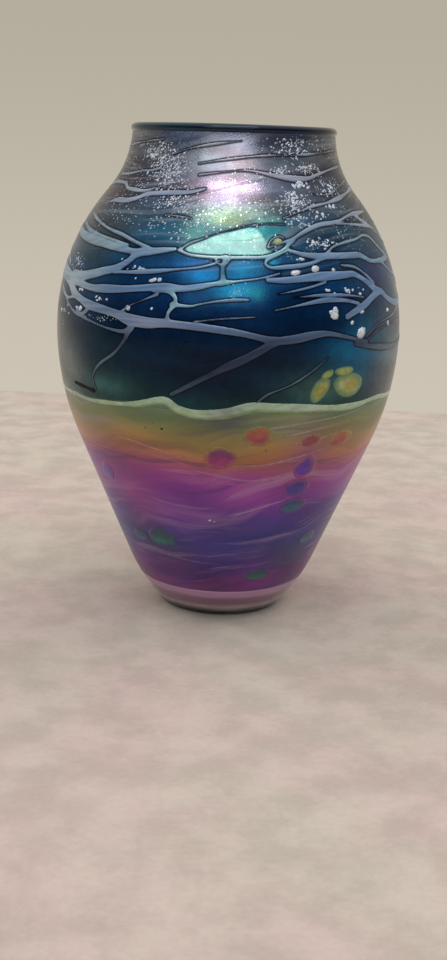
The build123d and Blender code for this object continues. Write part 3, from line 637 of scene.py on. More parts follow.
def raised_region(field, azimuths, heights, crown, round_off, foot=-0.3):
    """Closed raised form over the negative part of a field, with a rounded edge: its points, its
    faces, and the azimuth, height and edge distance of each point."""
    triangles, low, high = region_faces(field)
    flat = field.ravel()
    share = np.where(low == high, 0, flat[low] / (flat[low] - flat[high] + 1e-12))
    share = np.clip(share, 0, 0.999)
    column_gap = (high % len(azimuths)) - (low % len(azimuths))
    column_gap = np.where(column_gap > 1, column_gap - len(azimuths), column_gap)
    column_gap = np.where(column_gap < -1, column_gap + len(azimuths), column_gap)
    azimuth = azimuths[low % len(azimuths)] + column_gap * share * (azimuths[1] - azimuths[0])
    row = low // len(azimuths) + (high // len(azimuths) - low // len(azimuths)) * share
    z = heights[0] + row * (heights[1] - heights[0])
    depth = -(flat[low] * (1 - share) + flat[high] * share)
    bulge = 1 - np.clip(1 - depth / round_off, 0, 1) ** 2
    top = on_wall(azimuth, z, crown * np.sqrt(bulge) - 0.04)
    bottom = on_wall(azimuth, z, foot)
    edges = np.concatenate([triangles[:, [0, 1]], triangles[:, [1, 2]], triangles[:, [2, 0]]])
    size = len(top)
    forward = edges[:, 0].astype(np.int64) * size + edges[:, 1]
    backward = edges[:, 1].astype(np.int64) * size + edges[:, 0]
    rim = edges[~np.isin(forward, backward)]
    sides = np.stack([rim[:, 1], rim[:, 0], rim[:, 0] + size, rim[:, 1] + size], -1)
    faces = triangles.tolist() + (triangles[:, ::-1] + size).tolist() + sides.tolist()
    return np.concatenate([top, bottom]), faces, *(np.tile(values, 2) for values in (azimuth, z, depth))


# ---------------------------------------------------------------- materials

def new_material(name, **sockets):
    """Material with one Principled shader whose uniform values are set here."""
    material = bpy.data.materials.new(name)
    material.use_nodes = True
    shader = material.node_tree.nodes["Principled BSDF"]
    for label, value in sockets.items():
        shader.inputs[label.replace("_", " ")].default_value = value
    return material, material.node_tree, shader


def add_node(tree, kind, inputs=None, **settings):
    node = tree.nodes.new(kind)
    for label, value in settings.items():
        setattr(node, label, value)
    for label, value in (inputs or {}).items():
        if isinstance(value, bpy.types.NodeSocket):
            tree.links.new(value, node.inputs[label])
        else:
            node.inputs[label].default_value = value
    return node


def attribute(tree, name, output="Fac"):
    return add_node(tree, "ShaderNodeAttribute", attribute_name=name).outputs[output]


def math_node(tree, operation, a, b, clamp=False):
    return add_node(tree, "ShaderNodeMath", {0: a, 1: b}, operation=operation, use_clamp=clamp).outputs[0]


def mix_colour(tree, share, a, b, blend="MIX"):
    node = add_node(tree, "ShaderNodeMix", data_type="RGBA", blend_type=blend)
    for socket, value in ((node.inputs[0], share), (node.inputs[6], a), (node.inputs[7], b)):
        if isinstance(value, bpy.types.NodeSocket):
            tree.links.new(value, socket)
        else:
            socket.default_value = value
    return node.outputs[2]


def band_share(tree, value, low, high):
    """0 below low, 1 above high, smooth between."""
    node = add_node(tree, "ShaderNodeMapRange", {"Value": value, "From Min": low, "From Max": high},
                    interpolation_type="SMOOTHSTEP")
    return node.outputs[0]


def times(tree, a, b):
    return math_node(tree, "MULTIPLY", a, b)


def tinted(tree, tone, share, strength, colour):
    """The tone with another colour laid over it by share times strength."""
    return mix_colour(tree, times(tree, share, strength), tone, colour)


def mottled(tree, tone, value, low, high, factor):
    """The tone multiplied by a factor where value is low, and unchanged where it is high."""
    shaded = mix_colour(tree, 1.0, tone, factor, "MULTIPLY")
    return mix_colour(tree, band_share(tree, value, low, high), shaded, tone)


def link_tone(tree, shader, tone):
    tree.links.new(tone, shader.inputs["Base Color"])


def link_roughness(tree, shader, value, scale, base):
    """Roughness of base plus scale times value."""
    tree.links.new(math_node(tree, "ADD", times(tree, value, scale), base), shader.inputs["Roughness"])


def stretched(tree, vector, scale):
    return add_node(tree, "ShaderNodeVectorMath", {0: vector, 1: scale}, operation="MULTIPLY").outputs[0]


def noise(tree, vector, scale, detail=2.0, roughness=0.5):
    return add_node(tree, "ShaderNodeTexNoise", {"Vector": vector, "Scale": scale, "Detail": detail,
                                                "Roughness": roughness}).outputs["Fac"]


def flecks(tree, vector, scale, size, rarity):
    """1 in small scattered spots: a share of the cells of a cell pattern."""
    cells = add_node(tree, "ShaderNodeTexVoronoi", {"Vector": vector, "Scale": scale})
    spot = band_share(tree, cells.outputs["Distance"], size, size * 0.6)
    chance = add_node(tree, "ShaderNodeSeparateColor", {"Color": cells.outputs["Color"]}).outputs[0]
    return times(tree, spot, band_share(tree, chance, rarity, rarity + 0.02))


def bump(tree, shader, height_socket, strength, distance):
    inputs = {"Height": height_socket, "Strength": strength, "Distance": distance}
    node = add_node(tree, "ShaderNodeBump", inputs)
    tree.links.new(node.outputs["Normal"], shader.inputs["Normal"])


def object_point(tree):
    return add_node(tree, "ShaderNodeTexCoord").outputs["Object"]


def lustre_material():
    """Midnight glass under a metallic lustre. Beside the threads the skin is darkened with painted shade of
    the grooves there;
    silver streaks and flecks lie where the veil is thick."""
    material, tree, shader = new_material("midnight_lustre", Coat_Weight=0.12, Coat_Roughness=0.05)
    point = object_point(tree)
    flow = attribute(tree, "flow", "Vector")
    veil = attribute(tree, "veil")
    tone = attribute(tree, "tone", "Color")
    cloud = noise(tree, point, 260, 3)
    tone = mottled(tree, tone, cloud, 0.3, 0.7, (0.72, 0.76, 0.82, 1))
    streak = noise(tree, stretched(tree, flow, (14, 14, 420)), 1.0, 2)
    streak_share = times(tree, band_share(tree, streak, 0.52, 0.64), veil)
    tone = tinted(tree, tone, streak_share, 0.45, (0.34, 0.38, 0.46, 1))
    dark = band_share(tree, streak, 0.46, 0.36)
    tone = tinted(tree, tone, dark, times(tree, veil, 0.55), (0.04, 0.05, 0.09, 1))
    # Painted shade: the skin darkens close beside each thread, standing in for the shade in the grooves
    # there.
    outline_shade = band_share(tree, attribute(tree, "edge"), 0.75, 0.12)
    tone = tinted(tree, tone, outline_shade, 0.9, (0.002, 0.006, 0.018, 1))
    fine = flecks(tree, stretched(tree, flow, (1, 1, 1.6)), 800, 0.4, 0.66)
    fleck_share = times(tree, fine, band_share(tree, veil, 0.3, 0.8))
    tone = tinted(tree, tone, fleck_share, 0.8, (0.8, 0.88, 0.92, 1))
    link_tone(tree, shader, tone)
    tree.links.new(attribute(tree, "metal"), shader.inputs["Metallic"])
    grain = times(tree, math_node(tree, "SUBTRACT", noise(tree, point, 900, 2), 0.5), 0.16)
    tree.links.new(math_node(tree, "ADD", attribute(tree, "rough"), grain, True), shader.inputs["Roughness"])
    relief = math_node(tree, "ADD", noise(tree, point, 1400, 3), times(tree, streak, 0.25))
    bump(tree, shader, relief, 0.3, 0.0002)
    return material


def swirled_material(name, swirl):
    """Olive, amber, magenta and indigo glass with wispy diagonal swirls under a clear polished skin."""
    material, tree, shader = new_material(name, Coat_Weight=0.3, Coat_Roughness=0.06)
    point = object_point(tree)
    flow = attribute(tree, "flow", "Vector")
    tone = attribute(tree, "tone", "Color")
    wander = add_node(tree, "ShaderNodeTexNoise", {"Vector": point, "Scale": 22.0, "Detail": 2.0})
    terms = {0: wander.outputs["Color"], 1: (0.02, 0.02, 0.02), 2: flow}
    bent = add_node(tree, "ShaderNodeVectorMath", terms, operation="MULTIPLY_ADD").outputs[0]
    broad = noise(tree, stretched(tree, bent, (13, 13, 75)), 1.0, 3, 0.55)
    wisp = noise(tree, stretched(tree, bent, (16, 16, 330)), 1.0, 3, 0.6)
    cool = mix_colour(tree, 1.0, tone, (0.34, 0.45, 0.85, 1), "MULTIPLY")
    tone = tinted(tree, tone, band_share(tree, broad, 0.52, 0.36), 0.6 * swirl, cool)
    warm = mix_colour(tree, 0.28, tone, (0.8, 0.36, 0.62, 1))
    tone = tinted(tree, tone, band_share(tree, broad, 0.54, 0.7), 0.55 * swirl, warm)
    tone = tinted(tree, tone, band_share(tree, wisp, 0.54, 0.74), 0.28 * swirl, (0.5, 0.34, 0.46, 1))
    tone = tinted(tree, tone, band_share(tree, wisp, 0.44, 0.28), 0.36 * swirl, (0.035, 0.02, 0.12, 1))
    link_tone(tree, shader, tone)
    tree.links.new(attribute(tree, "metal"), shader.inputs["Metallic"])
    rough = math_node(tree, "ADD", attribute(tree, "rough"), times(tree, wisp, 0.1), True)
    tree.links.new(rough, shader.inputs["Roughness"])
    bump(tree, shader, wisp, 0.12, 0.0002)
    return material


def web_material():
    """Silver-blue lustre threads, grained along their length, with painted shade of the grooves darkening
    their edges.
    """
    gloss = {"Coat_Weight": 0.15, "Coat_Roughness": 0.08, "Metallic": 0.45}
    material, tree, shader = new_material("silver_trail", **gloss)
    flow = attribute(tree, "flow", "Vector")
    tone = attribute(tree, "tone", "Color")
    grain = noise(tree, stretched(tree, flow, (60, 60, 700)), 1.0, 3)
    tone = mottled(tree, tone, grain, 0.3, 0.7, (0.62, 0.68, 0.76, 1))
    # Painted shade: the thread darkens towards its edge, where it meets the grooves beside it.
    rim = band_share(tree, attribute(tree, "depth"), 0.34, 0.06)
    tone = tinted(tree, tone, rim, 0.85, (0.01, 0.018, 0.04, 1))
    link_tone(tree, shader, tone)
    rough = math_node(tree, "ADD", times(tree, noise(tree, object_point(tree), 700), 0.2), 0.24)
    tree.links.new(rough, shader.inputs["Roughness"])
    bump(tree, shader, grain, 0.2, 0.0002)
    return material


def ribbon_material():
    """Opaque pale green-white glass, cloudy, with a little silver."""
    material, tree, shader = new_material("pale_ribbon", Coat_Weight=0.6, Coat_Roughness=0.08)
    point = object_point(tree)
    tone = attribute(tree, "tone", "Color")
    cloud = noise(tree, stretched(tree, point, (1, 1, 2.5)), 220, 4, 0.6)
    tone = mottled(tree, tone, cloud, 0.35, 0.65, (0.72, 0.78, 0.7, 1))
    link_tone(tree, shader, tone)
    link_roughness(tree, shader, cloud, 0.2, 0.2)
    bump(tree, shader, cloud, 0.2, 0.0002)
    return material


def opal_material(name):
    """Opal glass of the slices, petals, strands and specks, finely mottled."""
    material, tree, shader = new_material(name, Coat_Weight=0.4, Coat_Roughness=0.06)
    point = object_point(tree)
    tone = attribute(tree, "tone", "Color")
    mottle = noise(tree, point, 420, 4, 0.6)
    tone = mottled(tree, tone, mottle, 0.3, 0.7, (0.7, 0.7, 0.74, 1))
    link_tone(tree, shader, tone)
    link_roughness(tree, shader, mottle, 0.12, 0.16)
    bump(tree, shader, mottle, 0.12, 0.0002)
    return material


def flake_material():
    """Bright silver-white flakes whose tint changes from flake to flake."""
    gloss = {"Metallic": 0.15, "Coat_Weight": 0.5, "Coat_Roughness": 0.03}
    material, tree, shader = new_material("dichroic_flakes", **gloss)
    point = object_point(tree)
    cells = add_node(tree, "ShaderNodeTexVoronoi", {"Vector": point, "Scale": 350.0})
    pick = add_node(tree, "ShaderNodeSeparateColor", {"Color": cells.outputs["Color"]}).outputs[1]
    tone = mix_colour(tree, pick, (0.8, 0.84, 0.88, 1), (0.52, 0.64, 0.76, 1))
    link_tone(tree, shader, tone)
    link_roughness(tree, shader, noise(tree, point, 1500), 0.2, 0.1)
    return material


def lip_material():
    """Dark cobalt bead with a thin teal lustre and faint winding marks."""
    material, tree, shader = new_material("cobalt_lip", Coat_Weight=0.3, Coat_Roughness=0.04, Metallic=0.6)
    point = object_point(tree)
    winding = noise(tree, stretched(tree, point, (18, 18, 500)), 1.0, 3)
    cobalt, teal = (0.003, 0.008, 0.026, 1), (0.006, 0.04, 0.07, 1)
    tone = mix_colour(tree, band_share(tree, winding, 0.35, 0.7), cobalt, teal)
    link_tone(tree, shader, tone)
    link_roughness(tree, shader, winding, 0.12, 0.1)
    bump(tree, shader, winding, 0.15, 0.0002)
    return material


def inside_material():
    """Colour seen through the clear bubble from inside: dark, glossy and slightly wavy."""
    material, tree, shader = new_material("bubble_inside", Coat_Weight=1.0, Coat_Roughness=0.03)
    point = object_point(tree)
    tone = attribute(tree, "tone", "Color")
    wave = noise(tree, point, 60, 3)
    tone = mottled(tree, tone, wave, 0.3, 0.7, (0.6, 0.6, 0.65, 1))
    link_tone(tree, shader, tone)
    link_roughness(tree, shader, wave, 0.1, 0.15)
    bump(tree, shader, wave, 0.3, 0.0005)
    return material


def clear_material():
    """Clear base glass: a dark band at the ground rim that paints the contact shadow and dark refraction of
    its bottom edge, pale above it, then plum and rose like the colour above.
    """
    gloss = {"Transmission_Weight": 0.3, "IOR": 1.5, "Coat_Weight": 0.5, "Coat_Roughness": 0.04}
    material, tree, shader = new_material("clear_base_glass", **gloss)
    point = object_point(tree)
    cord = noise(tree, stretched(tree, point, (30, 30, 260)), 1.0, 3)
    level = add_node(tree, "ShaderNodeSeparateXYZ", {0: point}).outputs[2]
    level = math_node(tree, "ADD", level, times(tree, math_node(tree, "SUBTRACT", cord, 0.5), 0.003))
    # The dark bottom band is painted shadow where the foot meets the table.
    ground, clear = (0.03, 0.026, 0.03, 1), (0.62, 0.48, 0.5, 1)
    tone = mix_colour(tree, band_share(tree, level, 0.0015, 0.005), ground, clear)
    tone = mix_colour(tree, band_share(tree, level, 0.0045, 0.0075), tone, (0.36, 0.18, 0.26, 1))
    tone = mix_colour(tree, band_share(tree, level, 0.0095, 0.0125), tone, (0.7, 0.38, 0.6, 1))
    link_tone(tree, shader, tone)
    link_roughness(tree, shader, cord, 0.1, 0.06)
    bump(tree, shader, cord, 0.1, 0.0003)
    return material


def furrow_shadow_material():
    """Dull black that paints the shadow in a furrow of the glass."""
    material, tree, shader = new_material("furrow_shadow_black", Specular_IOR_Level=0.2)
    grain = noise(tree, object_point(tree), 500, 3)
    link_tone(tree, shader, mix_colour(tree, grain, (0.002, 0.002, 0.003, 1), (0.012, 0.012, 0.016, 1)))
    link_roughness(tree, shader, grain, 0.3, 0.45)
    return material


def table_material():
    """Pale suede-like cover with soft mottling."""
    material, tree, shader = new_material("pale_cover", Roughness=0.95)
    point = object_point(tree)
    broad = noise(tree, point, 9, 5, 0.65)
    patch = noise(tree, point, 42, 4, 0.6)
    nap = noise(tree, point, 420, 3)
    tone = mix_colour(tree, band_share(tree, broad, 0.35, 0.65), (0.63, 0.5, 0.46, 1), (0.6, 0.54, 0.46, 1))
    tone = mottled(tree, tone, patch, 0.35, 0.65, (0.84, 0.84, 0.83, 1))
    tone = mottled(tree, tone, nap, 0.2, 0.8, (0.93, 0.93, 0.92, 1))
    link_tone(tree, shader, tone)
    bump(tree, shader, nap, 0.3, 0.0004)
    return material


# ---------------------------------------------------------------- pieces of the vase

def make_skins():
    """The three coloured overlays as closed shells that meet at the horizon and at the amber's end."""
    columns, inner_rows = 720, 9
    amber_glass = swirled_material("amber_olive", 0.75)
    magenta_glass = swirled_material("magenta_indigo", 1.25)
    bands = [
        ("upper_colour", lustre_material(), "midnight_lustre_glass", "upper_colour_overlay", horizon_height,
         wall_top, 0.6),
        ("horizon_colour", amber_glass, "amber_olive_glass", "horizon_colour_layer", amber_height,
         horizon_height, 0.6),
        ("lower_colour", magenta_glass, "magenta_indigo_glass", "lower_colour_overlay", colour_end,
         amber_height, 0.8),
    ]
    for name, material, slot, node, low, high, step in bands:
        rows = np.linspace(low, high, round((high - low) / step))
        back_rows = np.linspace(high, low, inner_rows)
        outline = np.concatenate([profile(rows), profile(back_rows, -overlay_depth)])
        points, faces, azimuth, z = lathe(outline, columns)
        piece = make_object(name, points, faces, tone_attributes(azimuth, z))
        finish_piece(piece, material, slot, node)


def make_core():
    """The clear bubble inside: its inner wall shows through the mouth, its floor through the foot."""
    outer_rows = np.linspace(colour_end, wall_top, 60)
    outer = profile(outer_rows, -overlay_depth)
    inner_rows = np.linspace(wall_top, inner_wall_start, 70)
    inner = profile(inner_rows, -wall_depth)
    under = [(outer[0][0] * t, core_floor_height + core_floor_rise * t**2.2)
             for t in np.linspace(0.01, 0.98, 12)]
    floor = [(inner[-1][0] * t, inner_floor_height + inner_floor_rise * t**2.6)
             for t in np.linspace(0.97, 0.01, 14)]
    outline = np.concatenate([under, outer, inner, floor])
    points, faces, _, z = lathe(outline, 240, closed=False)
    tone = by_height(z, [(212, 0.03, 0.05, 0.12), (150, 0.008, 0.02, 0.06), (90, 0.03, 0.015, 0.05),
                         (15, 0.12, 0.02, 0.12)])
    courses = ["core_floor", "core_lower_wall", "core_belly_wall", "core_shoulder_wall", "core_neck_wall"]
    piece = make_object("core", points, faces, {"tone": tone})
    finish_piece(piece, inside_material(), "clear_glass", *courses)


def make_foot():
    """Clear base: outer wall, ground rim, polished pontil hollow, and the seat of the bubble on top."""
    wall_rows = np.linspace(1.0, colour_end, 16)
    wall = profile(wall_rows)
    foot_edge = [(wall[0][0] - 1.6, 0.0), (wall[0][0] - 0.8, 0.12), (wall[0][0] - 0.25, 0.5)]
    hollow = [(pontil_radius * t, pontil_depth * (1 - t**2)) for t in np.linspace(0.01, 1, 14)]
    seat_start = profile(np.array([colour_end]), -overlay_depth)[0]
    seat = [(seat_start[0] * t, seat_height + seat_rise * t**2.2) for t in np.linspace(1, 0.01, 14)]
    outline = np.concatenate([hollow, [(pontil_radius + 1.0, 0.0)], foot_edge, wall, seat])
    points, faces, _, _ = lathe(outline, 240, closed=False)
    piece = make_object("base", points, faces)
    finish_piece(piece, clear_material(), "foot_glass", "clear_foot")


def make_lip():
    """Lip wrap: a bead wound by hand, a little thicker in places, that hugs the rim."""
    columns, around = 360, 28
    azimuth = np.arange(columns) * 360 / columns - 180
    turn = np.arange(around) * 2 * math.pi / around
    thickness = lip_radius * (1 - 0.035 * (1 + ripple(azimuth, np.zeros(columns), 40, 71)))
    angle = np.radians(azimuth)
    radius = lip_ring_radius + 0.9 * thickness[None] * np.cos(turn)[:, None]
    z = height - 1.15 * lip_radius + lip_flatness * thickness[None] * np.sin(turn)[:, None]
    points = np.stack([radius * np.sin(angle), -radius * np.cos(angle), z], -1).reshape(-1, 3)
    piece = make_object("lip", points, ring_quads(around, columns, True))
    finish_piece(piece, lip_material(), "cobalt_glass", "lip_wrap")


def web_tone(azimuth, z):
    """Thread colour: grey-blue on the left, bluer to the right, dim low on the belly, and with a painted
    highlight at the front of the neck and shoulder.
    """
    tone = by_height(z, [(205, 0.40, 0.42, 0.50), (184, 0.36, 0.42, 0.54), (170, 0.28, 0.42, 0.56),
                         (158, 0.24, 0.40, 0.62), (146, 0.22, 0.36, 0.56), (137, 0.18, 0.27, 0.42),
                         (130, 0.035, 0.055, 0.11), (118, 0.02, 0.035, 0.075), (106, 0.07, 0.13, 0.16)])
    # The patches at (-2, 204) and (0, 195) paint the highlight silver and pink on the threads; those at (-3,
    # 165), (16, 167), (0, 154.6) and (-17, 146.4) paint its pale turquoise and cyan fringe.
    return add_patches(tone, azimuth, z, [
        (-64, 150, 22, 12, (0.50, 0.62, 0.72), 0.9), (-26, 138.5, 14, 4, (0.50, 0.56, 0.70), 0.85),
        (-50, 166, 16, 5, (0.34, 0.48, 0.54), 0.7), (-2, 204, 22, 9, (0.60, 0.58, 0.64), 0.9),
        (0, 195, 16, 4, (0.62, 0.44, 0.58), 0.9), (-3, 165, 17, 3, (0.70, 0.96, 0.92), 0.95),
        (16, 167, 6, 3, (0.40, 0.80, 0.80), 0.9), (0, 154.6, 8, 2.4, (0.40, 0.86, 0.90), 0.9),
        (-17, 146.4, 4, 5.4, (0.55, 0.85, 0.88), 0.9), (-10, 147, 10, 3, (0.28, 0.52, 0.62), 0.8),
        (-1.6, 159, 3, 4, (0.02, 0.16, 0.22), 0.9), (14, 161.6, 4, 2.4, (0.20, 0.55, 0.75), 0.8),
        (50, 150, 18, 9, (0.18, 0.32, 0.60), 0.7), (62, 126.5, 18, 5, (0.12, 0.20, 0.30), 0.8),
        (-42, 118, 12, 12, (0.13, 0.24, 0.27), 0.85), (20, 115, 13, 8, (0.16, 0.28, 0.32), 0.85),
        (66, 176, 8, 8, (0.45, 0.52, 0.60), 0.8)])


def make_web():
    """The fused web, in four lengths round the vase so that none is too heavy."""
    material = web_material()
    quarters = [("web_front_left", -90, 0), ("web_front_right", 0, 90), ("web_back_right", 90, 180),
                ("web_back_left", 180, 270)]
    names = {quarter: [] for quarter, _, _ in quarters}
    for name, route in web_routes.items():
        middle = (route[0][0] + route[-1][0]) / 2
        for quarter, start, end in quarters:
            if start <= (middle + 90) % 360 - 90 < end:
                names[quarter].append(name)
    for quarter, start, end in quarters:
        across = np.abs(turn_gap(grid_azimuths, (start + end) / 2)) - (end - start) / 2
        field = np.maximum(web_grid, np.where(across[None] > 0.01, 1.0, -9.0))
        points, faces, azimuth, z, depth = raised_region(field, grid_azimuths, grid_heights, 0.24, 0.9)
        attributes = {"tone": web_tone(azimuth, z), "depth": depth, "flow": flow_vector(azimuth, z)}
        piece = make_object(quarter, points, faces, attributes)
        finish_piece(piece, material, "silver_trail_glass", *names[quarter])


def fine_grid(low, high):
    return np.arange(low, high, 0.3)


def make_ribbon():
    """Pale ribbon along the horizon, uneven in width."""
    heights = fine_grid(98.0, 111.0)
    widths = ribbon_widths[0] + (ribbon_widths[1] - ribbon_widths[0]) * (
        0.5 + 0.5 * ripple(horizon_curve[:, 0], np.zeros(len(horizon_curve)), 34, 81))
    route = np.column_stack([horizon_curve[:, 0], horizon_curve[:, 1] - 1.0, np.clip(widths, 1.4, 4.4)])
    field = grid_field([route], grid_azimuths, heights, 0.4)
    field += 0.25 * ripple(grid_azimuths[None], heights[:, None], 7, 82)
    points, faces, azimuth, z, _ = raised_region(field, grid_azimuths, heights, 0.2, 1.4)
    tone = by_height(z, [(109, 0.40, 0.60, 0.44), (102, 0.46, 0.60, 0.36)])
    tone = add_patches(tone, azimuth, z, [(-58, 104, 18, 9, (0.26, 0.38, 0.32), 0.8),
                                          (0, 103, 7, 5, (0.30, 0.34, 0.34), 0.8),
                                          (26, 105, 18, 5, (0.52, 0.62, 0.46), 0.8)])
    below = 0.85 * smooth_step(horizon_at(azimuth) - 1.2 - z, 0, 1.6)
    tone = tone + (np.array((0.20, 0.27, 0.12)) - tone) * below[:, None]
    piece = make_object("horizon_line", points, faces, {"tone": tone})
    finish_piece(piece, ribbon_material(), "pale_green_glass", "horizon_ribbon")


def make_strands():
    """Pale strands in the lower glass, each a small sheaf of hair-fine lines."""
    for name, route in strand_routes.items():
        sheaf = [route] + [shifted_strand(route, turn, lift, share) for turn, lift, share in
                           ((6, 1.7, 0.55), (-5, -1.9, 0.5), (11, 3.2, 0.4), (2, -3.4, 0.35))]
        sheaf += extra_wisps.get(name, [])
        levels = [point[1] for line in sheaf for point in line]
        heights = fine_grid(min(levels) - 3, max(levels) + 3)
        field = grid_field(sheaf, grid_azimuths, heights, 0.2)
        points, faces, azimuth, z, depth = raised_region(field, grid_azimuths, heights, 0.08, 0.5)
        tone, *_ = glass_tone(azimuth, z)
        pale = np.array((0.30, 0.34, 0.60) if name == "blue_strand" else (0.62, 0.44, 0.60))
        tone = tone + (pale - tone) * (0.5 * smooth_step(depth, 0, 0.35))[:, None]
        piece = make_object(name + "_sheaf", points, faces, {"tone": tone})
        slot = "blue_strand_glass" if name == "blue_strand" else "pale_strand_glass"
        finish_piece(piece, opal_material(name + "_glass"), slot, name)


def disc_points(azimuth, z, width, tall, tilt, rings, spokes, crown):
    """A flat-topped lens on the wall with a slightly uneven outline: points, faces, ring share."""
    shares = np.concatenate([[0.02], np.linspace(0.12, 1.0, rings)])
    turn = np.arange(spokes) * 2 * math.pi / spokes
    uneven = 1 + 0.06 * np.sin(2 * turn + azimuth) + 0.04 * np.sin(3 * turn + z)
    across = shares[:, None] * (width / 2) * np.cos(turn) * uneven
    up = shares[:, None] * (tall / 2) * np.sin(turn) * uneven
    angle = math.radians(tilt)
    side = across * math.cos(angle) - up * math.sin(angle)
    lift = across * math.sin(angle) + up * math.cos(angle)
    level = z + lift
    place = azimuth + np.degrees(side / wall_radius(level))
    rise = crown * np.sqrt(np.clip(1 - shares**4, 0, 1))[:, None] + 0.015 + 0 * place
    top = on_wall(place, level, rise).reshape(-1, 3)
    bottom = on_wall(place[-1], level[-1], -0.25)
    points = np.concatenate([top, bottom])
    faces = ring_quads(rings + 2, spokes, False)[:, ::-1].tolist()
    faces.append(list(range(spokes)))
    last = (rings + 1) * spokes
    faces.append([last + k for k in range(spokes)][::-1])
    values = [np.concatenate([v.ravel(), v[-1].ravel()]) for v in
              (place, level, np.broadcast_to(shares[:, None], place.shape))]
    return points, faces, *values


# Cane slices: azimuth, height, width, height of the slice, tilt
slices = {
    "red_orange_murrine": [
        (11, 93, 12, 7.5, 0), (44, 89, 12, 6.5, 0), (128, 92, 11, 8, 10), (222, 91, 12, 7, 0),
    ],
    "magenta_murrine": [(-1.5, 83, 13, 8.4, 0), (158, 84, 11, 8, 0)],
    "dark_red_murrine": [(30.5, 90, 9, 4.6, 0), (246, 88, 9, 5, 0)],
    "violet_murrine": [(31, 78, 9.5, 9.5, 0), (-55, 68, 9, 7, 20), (196, 76, 10, 8, 0)],
    "blue_murrine": [(30, 67.6, 13, 6.6, 0), (108, 66, 11, 7, 0), (268, 60, 11, 7, 0)],
    "teal_murrine": [(31, 58.8, 12, 7, 0), (49, 40, 10, 5.5, 0), (-46, 39, 9, 5, 0), (176, 56, 11, 7, 0)],
    "green_murrine": [
        (21, 24, 11.5, 6.4, 0), (-31, 41, 13, 9, 0), (140, 38, 12, 8, 0), (232, 42, 11, 7, 0),
    ],
}
# Colour of each slice at its crown and at its foot
slice_colours = {
    "red_orange_murrine": ((0.50, 0.10, 0.05), (0.42, 0.04, 0.10)),
    "magenta_murrine": ((0.22, 0.01, 0.16), (0.42, 0.01, 0.22)),
    "dark_red_murrine": ((0.34, 0.03, 0.06), (0.30, 0.05, 0.09)),
    "violet_murrine": ((0.09, 0.012, 0.36), (0.12, 0.015, 0.46)),
    "blue_murrine": ((0.035, 0.025, 0.26), (0.04, 0.035, 0.36)),
    "teal_murrine": ((0.008, 0.07, 0.17), (0.008, 0.15, 0.22)),
    "green_murrine": ((0.006, 0.075, 0.09), (0.006, 0.18, 0.12)),
}
melted_growth = 1.14


def gather(parts):
    """Several point-and-face sets as one."""
    points, faces, columns, start = [], [], [], 0
    for part_points, part_faces, *values in parts:
        points.append(part_points)
        faces += [[k + start for k in face] for face in part_faces]
        columns.append(values)
        start += len(part_points)
    return (np.concatenate(points), faces, *[np.concatenate(column) for column in zip(*columns)])


def grown(place):
    """The place of a slice whose melted edge spreads a little."""
    azimuth, z, width, tall, tilt = place
    return azimuth, z, width * melted_growth, tall * melted_growth, tilt


def make_slices():
    """Cane slices of the lower half: darker crown, brighter lower edge, melted rim."""
    for name, places in slices.items():
        parts = []
        for place in places:
            points, faces, azimuth, z, share = disc_points(*grown(place), 9, 48, 0.12)
            parts.append((points, faces, azimuth, z, share, (z - place[1]) / place[3] + 0.5))
        points, faces, azimuth, z, share, rise = gather(parts)
        tone, *_ = glass_tone(azimuth, z)
        crown, foot = (np.array(colour) for colour in slice_colours[name])
        colour = foot + (crown - foot) * smooth_step(rise, 0.2, 0.7)[:, None]
        softness = 1 - smooth_step(share + 0.12 * ripple(azimuth, z, 5, 91), 0.5, 1.0)
        tone = tone + (colour - tone) * (0.9 * softness)[:, None]
        piece = make_object(name + "_slices", points, faces, {"tone": tone})
        finish_piece(piece, opal_material(name + "_glass"), name.replace("murrine", "glass"), name)


petal_sets = {
    "petals_front": [(30.2, 111.8, 8, 11.4, -34), (41.6, 112.8, 18, 10, 0), (39, 118.8, 10, 4.2, 0),
                     (32.4, 118, 6.4, 3.4, 20)],
    "petals_back": [(203, 111.5, 6, 9.6, 24), (211, 113, 14, 8, -8), (207, 119, 8, 3.8, 0)],
}
petal_eyes = [(30.4, 111.8, 3, 6, -34), (42.6, 112.6, 10, 4.6, 0)]


def make_petals():
    """Yellow-green petals with a dark melted outline, and amber eyes set in them."""
    for name, places in petal_sets.items():
        parts = [disc_points(*place, 9, 48, 0.2) for place in places]
        points, faces, azimuth, z, share = gather(parts)
        yellow = np.array((0.36, 0.42, 0.10)) + 0.08 * ripple(azimuth, z, 5, 95)[:, None]
        green = np.array((0.16, 0.30, 0.12))
        tone = green + (yellow - green) * (1 - smooth_step(share, 0.5, 0.85))[:, None]
        tone = tone + (np.array((0.03, 0.09, 0.08)) - tone) * (0.8 * smooth_step(share, 0.86, 0.97))[:, None]
        piece = make_object(name + "_cane", points, faces, {"tone": np.clip(tone, 0, 1)})
        finish_piece(piece, opal_material(name + "_glass"), "yellow_green_glass", name)
    parts = [disc_points(*place, 7, 40, 0.26) for place in petal_eyes]
    points, faces, azimuth, z, share = gather(parts)
    amber, green = np.array((0.48, 0.36, 0.06)), np.array((0.34, 0.40, 0.10))
    tone = green + (amber - green) * (1 - smooth_step(share, 0.45, 1.0))[:, None]
    piece = make_object("petal_eyes_cane", points, faces, {"tone": tone})
    finish_piece(piece, opal_material("petal_eye_glass"), "amber_glass", "petal_eyes")


def make_furrow_shadow():
    """Dark raised piece at the left end of the horizon, whose black paints the shadow in a furrow there."""
    heights = fine_grid(100.0, 113.0)
    field = grid_field([[(-59, 107, 2), (-53, 106.6, 1.6), (-48, 106, 2.4)]], grid_azimuths, heights, 0.3)
    field += 0.25 * ripple(grid_azimuths[None], heights[:, None], 3, 97)
    points, faces, *_ = raised_region(field, grid_azimuths, heights, 0.3, 0.6)
    piece = make_object("chip", points, faces)
    finish_piece(piece, furrow_shadow_material(), "black_glass", "dark_chip")


